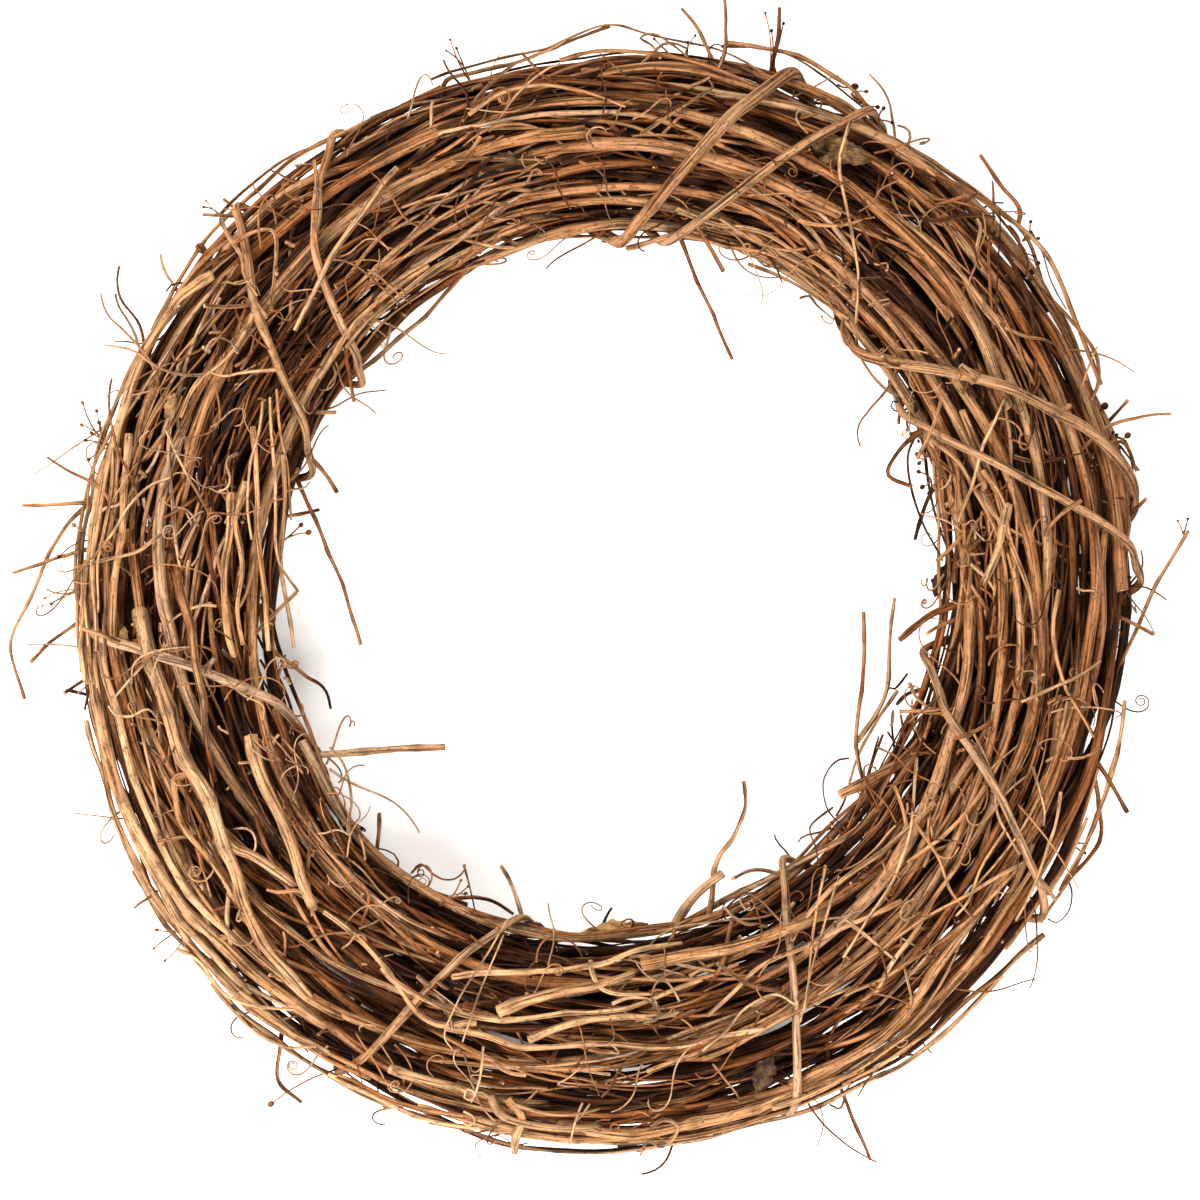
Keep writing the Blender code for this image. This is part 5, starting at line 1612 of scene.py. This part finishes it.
    (1.30, 0.72, 0.4, (118, 445, 112, 480, 105, 520, 101, 560, 100, 600, 103, 650)),
    (1.00, 0.62, 0.6, (125, 450, 122, 490, 116, 530, 111, 570, 110, 610, 113, 655)),
    (1.20, 0.66, 0.2, (110, 460, 100, 500, 93, 545, 88, 590, 87, 640, 90, 680)),
    (0.80, 0.78, 0.4, (107, 462, 97, 506, 92, 552, 91, 600, 94, 645)),
    (1.60, 0.60, 0.2, (134, 436, 133, 480, 128, 525, 122, 570, 119, 615, 121, 655)),
    (0.80, 0.72, 0.8, (117, 440, 119, 478, 112, 522, 106, 566, 105, 612)),
    (0.90, 0.50, 0.0, (100, 478, 88, 528, 82, 580, 82, 628, 84, 672)),
    (0.80, 0.84, 1.0, (275, 400, 276, 456, 277, 510, 280, 558, 288, 577, 297, 591)),
    (1.30, 0.66, 0.4, (258, 429, 261, 470, 264, 510, 266, 564, 268, 607, 272, 650)),
    (1.00, 0.74, 0.4, (285, 456, 287, 510, 285, 564, 288, 607, 294, 648)),
    (1.10, 0.60, 0.4, (250, 483, 243, 523, 247, 564, 243, 607, 248, 644)),
    (1.70, 0.70, 0.2, (236, 494, 233, 535, 230, 580, 232, 622, 238, 655)),
    (0.70, 0.84, 1.0, (268, 404, 262, 438, 254, 470, 251, 505, 256, 540)),
    (0.60, 0.70, 0.8, (281, 392, 284, 430, 290, 470, 292, 520)),
    (0.90, 0.76, 0.4, (345, 352, 372, 320, 404, 292, 440, 266, 482, 244, 530, 226)),
    (1.10, 0.68, 0.2, (322, 380, 340, 348, 366, 318, 396, 290, 430, 268)),
    (1.20, 0.74, 1.6, (929, 799, 886, 839, 840, 875, 801, 915, 788, 934)),
    (0.90, 0.80, 1.8, (1018, 859, 969, 882, 906, 921, 853, 961, 814, 987)),
    (0.80, 0.66, 2.0, (1011, 865, 978, 901, 939, 934, 893, 961, 840, 987)),
    (1.00, 0.78, 1.2, (896, 895, 853, 915, 803, 936, 755, 961, 705, 1007)),
    (0.80, 0.84, 2.2, (998, 826, 978, 859, 962, 895, 949, 910)),
    (0.60, 0.80, 2.0, (823, 862, 813, 900, 808, 936, 803, 980, 796, 1013)),
    (0.60, 0.90, 2.4, (836, 872, 820, 920, 806, 968, 800, 1002)),
    (0.70, 0.86, 1.6, (1054, 789, 1046, 836, 1027, 888, 1011, 917)),
    (0.70, 0.60, 1.4, (1084, 816, 1066, 859, 1044, 893)),
    (1.10, 0.95, 0.0, (1004, 976, 952, 1032, 906, 1068, 867, 1084, 801, 1111, 722, 1130)),
    (1.20, 0.70, -1.0, (1046, 936, 1011, 963, 972, 997, 939, 1032, 900, 1058)),
    (0.90, 0.78, 0.6, (929, 1026, 886, 1056, 840, 1079)),
    (1.00, 0.58, 1.4, (1010, 700, 996, 748, 972, 790, 940, 828, 902, 858)),
    (0.80, 0.72, 1.8, (1060, 700, 1048, 752, 1026, 800, 1000, 846, 966, 884)),
    (0.70, 0.82, 2.2, (966, 728, 984, 770, 992, 812, 1012, 850)),
    (0.70, 0.70, 2.0, (906, 812, 930, 850, 942, 884, 966, 912)),
    (0.90, 0.66, 0.2, (1118, 740, 1106, 790, 1090, 836, 1066, 884, 1040, 922)),
    (0.80, 0.80, 0.4, (1122, 700, 1116, 752, 1100, 806, 1080, 852, 1058, 890)),
    (0.60, 0.40, 0.0, (880, 1042, 862, 1062, 850, 1088, 842, 1110, 830, 1106)),
    (2.40, 0.62, -0.5, (790, 1080, 845, 1052, 878, 1030, 908, 998, 930, 964, 964, 913, 998, 870)),
    (1.00, 0.80, 0.4, (770, 1102, 812, 1088, 858, 1064, 898, 1032, 930, 1004, 962, 968)),
    (0.90, 0.55, 0.0, (1004, 948, 1036, 905, 1062, 862, 1082, 815, 1096, 768)),
    (1.30, 0.70, -0.4, (868, 1056, 905, 1024, 940, 986, 972, 946, 1004, 903, 1030, 862)),
)


def over_face(pixels, lift):
    """Points over the face at some pixels of the photograph, that many millimetres above it.

    At the share x of half the band's width the face is the root of 1 - (x / w) ** 2 times half the
    band's height above its middle. The width w is 1 for a strand that hugs the canes, and more
    for one that lies over them.
    """
    angle, across = from_pixels(pixels)
    share = across / half_size(angle)[:, 0]
    wide = FACE_WIDTH if lift > 0 else 1
    rise = half_size(angle)[:, 1] * np.sqrt(np.clip(1 - (share / wide) ** 2, 0, 1)) + lift / 1000
    return to_world(angle, np.stack([across, rise], axis=1))


loose = np.random.default_rng(407)
STRAND_BARK = bark(
    "loose strand bark", depth=0.0003, Grey=(0.46, 0.275, 0.145, 1), Fibre_width=2200.0, Wear=0.6
)
strands = []
for size, tone, lift, pixels in STRANDS:
    size = size / 1000
    path = over_face(pixels, lift)
    line, thick, way = smooth_line(path, np.full(len(path), size), STRAND_SPACING)
    joints = np.arange(0.2, 20) * loose.uniform(*STRAND_JOINTS)
    bent = STRAND_BEND * min(1, size / THIN_STRAND) if way[-1] > LONG_SHOOT else SHORT_BEND
    line = grown_line(line, way, STRAND_ACROSS, joints, bent, bent, loose)
    if size > THICK_STRAND:
        ends = np.linspace(-1, 1, len(line))
        line[:, 2] -= TUCKED * (ends if way[-1] < LONG_STRAND else np.abs(ends)).clip(0) ** 6
    taper = np.linspace(1, STRAND_TAPER, len(line)) * thick
    sides = STRAND_SIDES[size >= THIN_STRAND]
    strands.append(
        bark_tube(line, taper, STRAND_ACROSS, sides, joints, tone, loose, STRAND_RELIEF)
    )
make_piece("loose_strands", strands, STRAND_BARK)


# Dried berry stalks. Small hard berries and buds at the ends of thin stalks, in sprays that stick
# out of the edges of the ring. Each spray grows from one place.
STALK_RADIUS = 0.00042
STALK_TAPER = 0.75
STALK_SIDES = 5
STALK_STEPS = 14
BERRY_RINGS = 9
BERRY_SIDES = 8
BERRY_RELIEF = 0.05
BERRY_LENGTH = 1.15
BERRY_SET = 0.6
BERRY_SIZES = (0.85, 1.15)
BERRY_TONES = (-0.05, 0.3)
STALK_TONES = (0.1, 0.7)

# The pixel of the root, the spray's height as a share of half the band's height, the berries'
# radius in millimetres, and their pixels.
SPRAYS = (
    ((110, 447), 0.3, 0.8, ((84, 404), (97, 412), (84, 426), (88, 441), (90, 459), (100, 424),
        (93, 434))),
    ((96, 540), 0.2, 0.9, ((75, 526), (60, 556))),
    ((274, 548), 0.2, 1.1, ((307, 533), (300, 526))),
    ((1108, 452), 0.4, 1.5, ((1125, 437),)),
    ((1106, 455), 0.4, 0.8, ((1116, 436), (1109, 441), (1118, 448), (1112, 434))),
    ((1090, 425), 0.2, 1.3, ((1105, 407),)),
    ((838, 82), 0.2, 1.5, ((854, 84),)),
    ((852, 92), 0.2, 0.8, ((866, 90), (862, 99), (878, 104), (874, 108))),
    ((880, 118), 0.2, 0.8, ((884, 108), (892, 121))),
    ((215, 262), 0.1, 2.3, ((201, 249),)),
    ((334, 1074), -0.3, 1.2, ((270, 1107),)),
    ((78, 590), 0.1, 0.6, ((45, 598), (42, 606), (52, 604), (48, 590))),
    ((684, 70), 0.3, 0.7, ((655, 38), (662, 46), (688, 42), (695, 36))),
    ((470, 80), 0.1, 0.6, ((450, 38), (456, 46), (446, 48))),
    ((1024, 240), 0.2, 0.8, ((1031, 232), (1038, 238), (1031, 222))),
    ((912, 405), 0.2, 0.7, ((911, 421), (913, 434), (919, 440), (908, 428))),
    ((930, 455), 0.2, 0.9, ((919, 454), (921, 462))),
    ((932, 480), 0.2, 0.9, ((921, 472), (924, 486), (930, 492))),
    ((1116, 590), 0.1, 0.7, ((1129, 584), (1131, 578), (1126, 592))),
    ((1076, 846), 0.0, 0.8, ((1085, 853), (1088, 846))),
    ((220, 216), 0.2, 0.6, ((203, 206), (206, 201))),
    ((770, 74), 0.2, 0.7, ((766, 12), (772, 30), (784, 22))),
    ((1098, 500), 0.5, 0.7, ((1112, 492), (1118, 499), (1110, 505))),
    ((180, 930), -0.2, 0.7, ((155, 932), (163, 962), (152, 950))),
    ((1188, 534), -0.1, 0.6, ((1182, 521), (1193, 519))),
    ((440, 905), 0.2, 0.7, ((465, 893), (468, 886), (461, 880))),
    ((853, 846), 0.2, 0.7, ((832, 824), (829, 838), (840, 830))),
    ((1020, 255), 0.3, 0.8, ((1034, 256), (1038, 262))),
)
berries = np.random.default_rng(408)


def at_height(pixels, level):
    """Points at some pixels of the photograph, at that share of half the band's height."""
    angle, across = from_pixels(pixels)
    return to_world(angle, np.stack([across, level * half_size(angle)[:, 1]], axis=1))


def bead(centre, ahead, size, tone, rng):
    """A berry: at the share t from one end to the other its radius is r sin(pi t)."""
    part = np.linspace(0.04, 0.96, BERRY_RINGS)
    line = centre + ahead * (BERRY_LENGTH * size * -np.cos(math.pi * part))[:, None]
    across = np.cross(ahead, [0.3, 0.2, 1.0])
    radius = size * np.sin(math.pi * part)
    return bark_tube(line, radius, across, BERRY_SIDES, np.zeros(0), tone, rng, BERRY_RELIEF)


sprays = []
for root, level, size, tips in SPRAYS:
    for tip in tips:
        ends = at_height([root, tip], level)
        ends[1, 2] += berries.uniform(-0.002, 0.003)
        reach = ends[1] - ends[0]
        ahead = unit(reach)
        sag = np.cross(ahead, UP) * berries.uniform(-0.15, 0.15) + UP * berries.uniform(-0.1, 0.1)
        length = np.linalg.norm(reach)
        part = np.linspace(0, 1, STALK_STEPS)[:, None]
        line = ends[0] + part * reach + 4 * part * (1 - part) * sag * length
        tone = berries.uniform(*STALK_TONES)
        across = np.cross(ahead, [0.1, 0.3, 1])
        thinnest = STALK_TAPER * STALK_RADIUS
        sprays.append(
            twig_surface(line, STALK_RADIUS, thinnest, STALK_SIDES, tone, berries, across)
        )
        berry = size / 1000 * berries.uniform(*BERRY_SIZES)
        centre = line[-1] + BERRY_SET * berry * ahead
        sprays.append(bead(centre, ahead, berry, berries.uniform(*BERRY_TONES), berries))
make_piece("berry_sprays", sprays, TWIG_BARK)


# Leaf scraps. Torn, dry, crumpled bits of leaf and loose bark, caught between the canes. Thin,
# brittle and curled, olive brown to nearly black.
LEAF_THICKNESS = 0.00025
LEAF_ROWS = 28
LEAF_COLUMNS = 18

# Middle pixel, height over the face in millimetres, half length and half width in millimetres,
# the way it points in degrees, how much it is curled, and its shade from dark to olive.
SCRAPS = (
    ((838, 154), -1.2, 13.5, 6.0, -18, 0.7, 0.55),
    ((822, 168), 0.2, 7.0, 3.5, 50, 1.2, 0.45),
    ((944, 580), -4.0, 7.5, 4.5, 70, 1.3, 0.05),
    ((762, 1068), -6.0, 8.5, 5.5, 70, 1.0, 0.12),
    ((612, 931), -3.0, 15.0, 4.2, 10, 0.8, 0.85),
    ((228, 838), -2.0, 6.5, 5.0, 80, 1.4, 0.15),
    ((176, 408), 0.0, 5.5, 3.0, 70, 1.2, 0.60),
    ((502, 165), -1.5, 7.5, 4.5, 15, 1.0, 0.20),
    ((986, 300), -1.5, 7.0, 3.5, -50, 1.2, 0.30),
    ((130, 640), -2.0, 6.0, 3.0, 85, 1.2, 0.35),
)


def dry_leaf():
    """A material for dry leaf: mottled between browns, with fine wrinkles in its relief."""
    material = bpy.data.materials.new("dry leaf")
    material.use_nodes = True
    tree = material.node_tree
    shader = tree.nodes["Principled BSDF"]
    shade = add_node(tree, "ShaderNodeAttribute", attribute_name="tone")
    place = add_node(tree, "ShaderNodeTexCoord")
    mottle = add_node(tree, "ShaderNodeTexNoise", {"Scale": 260, "Detail": 5})
    wrinkle = add_node(tree, "ShaderNodeTexNoise", {"Scale": 900})
    limits = {"From Min": 0.3, "From Max": 0.7, "To Min": -0.3, "To Max": 0.3}
    spread = add_node(tree, "ShaderNodeMapRange", limits)
    level = add_node(tree, "ShaderNodeMath", operation="ADD")
    colours = add_node(tree, "ShaderNodeValToRGB")
    colours.color_ramp.elements[0].color = (0.020, 0.010, 0.006, 1)
    colours.color_ramp.elements[0].position = 0.0
    colours.color_ramp.elements[1].color = (0.31, 0.180, 0.068, 1)
    colours.color_ramp.elements[1].position = 1.0
    middle = colours.color_ramp.elements.new(0.5)
    middle.color = (0.115, 0.062, 0.022, 1)
    bump = add_node(tree, "ShaderNodeBump", {"Distance": 0.0006})
    for one, two in (
        (place.outputs["Object"], mottle.inputs["Vector"]),
        (place.outputs["Object"], wrinkle.inputs["Vector"]),
        (mottle.outputs["Fac"], spread.inputs["Value"]),
        (spread.outputs["Result"], level.inputs[0]),
        (shade.outputs["Fac"], level.inputs[1]),
        (level.outputs["Value"], colours.inputs["Fac"]),
        (colours.outputs["Color"], shader.inputs["Base Color"]),
        (wrinkle.outputs["Fac"], bump.inputs["Height"]),
        (bump.outputs["Normal"], shader.inputs["Normal"]),
    ):
        tree.links.new(one, two)
    shader.inputs["Roughness"].default_value = 0.8
    shader.inputs["Specular IOR Level"].default_value = 0.15
    return material


def scrap(middle, half_length, half_width, turn, curled, tone, rng):
    """A crumpled scrap, as two skins joined at the rim.

    At the shares u along and v across it is w (1 - |u| ^ 1.7) wide, with a torn edge of sines. It
    is rolled round its length by the angle c v, and waves along it as the sine of b u.
    """
    along = np.linspace(-1, 1, LEAF_ROWS)[:, None]
    over = np.linspace(-1, 1, LEAF_COLUMNS)[None, :]
    torn = 1 + 0.16 * np.sin(9 * along + rng.uniform(0, 6))
    torn = torn + 0.10 * np.sin(23 * along + rng.uniform(0, 6))
    wide = half_width * (1.02 - np.abs(along) ** 1.7) * torn
    roll = curled * over
    bend = rng.uniform(2.5, 4.5)
    x = half_length * along * np.ones_like(over) + 0.06 * half_length * np.sin(7 * over + 3 * along)
    y = wide * np.sin(roll) / max(curled, 0.1)
    z = wide * (1 - np.cos(roll)) / max(curled, 0.1) * -0.9
    z = z + 0.14 * half_length * np.sin(bend * along)
    z = z + 0.05 * half_length * np.sin(11 * along + 5 * over + rng.uniform(0, 6))
    z = z + 0.035 * half_length * np.sin(19 * over - 7 * along)
    cosine, sine = math.cos(turn), math.sin(turn)
    top = np.stack([cosine * x - sine * y, sine * x + cosine * y, z], axis=-1)
    top = top.reshape(-1, 3) + middle
    bottom = top - [0, 0, LEAF_THICKNESS]
    number = np.arange(LEAF_ROWS * LEAF_COLUMNS).reshape(LEAF_ROWS, LEAF_COLUMNS)
    corners = (number[:-1, :-1], number[1:, :-1], number[1:, 1:], number[:-1, 1:])
    face = np.stack(corners, axis=-1).reshape(-1, 4)
    rim = np.concatenate([number[0, :-1], number[:-1, -1], number[-1, :0:-1], number[:0:-1, 0]])
    after = np.roll(rim, -1)
    under = LEAF_ROWS * LEAF_COLUMNS
    edge = np.stack([rim, after, after + under, rim + under], axis=1)
    count = 2 * under
    return {
        "points": np.concatenate([top, bottom]),
        "quads": np.concatenate([face, face[:, ::-1] + under, edge]),
        "fans": np.zeros((0, 3), int),
        "grain": np.zeros((count, 3)),
        "tone": np.full(count, tone),
        "knot": np.zeros(count),
        "cut": np.zeros(count),
    }


leaf_draws = np.random.default_rng(409)
scraps = []
for pixel, lift, half_length, half_width, turn, curled, tone in SCRAPS:
    spot = over_face([pixel], lift)[0]
    size = (half_length / 1000, half_width / 1000)
    scraps.append(scrap(spot, *size, math.radians(turn), curled, tone, leaf_draws))
make_piece("leaf_scraps", scraps, dry_leaf())


# The stage: a plain pale floor, soft light from all round, and the camera of the photograph, which
# looks straight down on the wreath's face. The lens takes in the photograph's frame at the level
# of the wreath's middle.
FRAME_PIXELS = 1200
CAMERA_HEIGHT = 1.60
MIDDLE_LEVEL = 0.050
FLOOR_SIZE = 6
FLOOR_DROP = 0.0002
FLOOR_COLOUR = (0.93, 0.93, 0.93, 1)
FLOOR_ROUGHNESS = 0.9

middle = (FRAME_PIXELS / 2 - np.array(CENTRE_PIXEL)) * [PIXEL, -PIXEL]
lens = bpy.data.cameras.new("camera")
lens.sensor_fit = "HORIZONTAL"
lens.angle = 2 * math.atan(FRAME_PIXELS * PIXEL / 2 / (CAMERA_HEIGHT - MIDDLE_LEVEL))
camera = bpy.data.objects.new("camera", lens)
camera.location = (*middle, CAMERA_HEIGHT)
bpy.context.scene.collection.objects.link(camera)
bpy.context.scene.camera = camera
bpy.context.scene.view_settings.view_transform = "Standard"

white = bpy.data.materials.new("white floor")
white.use_nodes = True
paint = white.node_tree.nodes["Principled BSDF"]
paint.inputs["Base Color"].default_value = FLOOR_COLOUR
paint.inputs["Roughness"].default_value = FLOOR_ROUGHNESS
bpy.ops.mesh.primitive_plane_add(size=FLOOR_SIZE, location=(0, 0, -FLOOR_DROP))
floor = bpy.context.object
floor.name = "floor"
floor.data.materials.append(white)

# Square soft lamps all round, turned to the wreath: the way that each lies from it, in degrees,
# and its power in watts. A faint warm light comes from the room.
LAMPS = ((115, 43), (165, 44), (45, 22), (225, 50), (315, 26), (275, 46))
LAMP_REACH = 1.5
LAMP_HEIGHT = 1.5
LAMP_SIZE = 0.5
LAMP_COLOUR = (1.0, 0.962, 0.915)
LAMP_AIM = (0, 0, 0.04)
ROOM_COLOUR = (1.0, 0.88, 0.76, 1)
ROOM_STRENGTH = 0.15

for number, (turn, power) in enumerate(LAMPS):
    turn = math.radians(turn)
    place = np.array([LAMP_REACH * math.cos(turn), LAMP_REACH * math.sin(turn), LAMP_HEIGHT])
    light = bpy.data.lights.new(f"lamp {number + 1}", "AREA")
    light.size = LAMP_SIZE
    light.energy = power
    light.color = LAMP_COLOUR
    lamp = bpy.data.objects.new(light.name, light)
    lamp.location = place
    away = place - LAMP_AIM
    tilt = math.acos(away[2] / np.linalg.norm(away))
    lamp.rotation_euler = (tilt, 0, math.atan2(away[1], away[0]) + math.pi / 2)
    bpy.context.scene.collection.objects.link(lamp)
world = bpy.data.worlds.new("studio")
world.use_nodes = True
world.node_tree.nodes["Background"].inputs["Color"].default_value = ROOM_COLOUR
world.node_tree.nodes["Background"].inputs["Strength"].default_value = ROOM_STRENGTH
bpy.context.scene.world = world
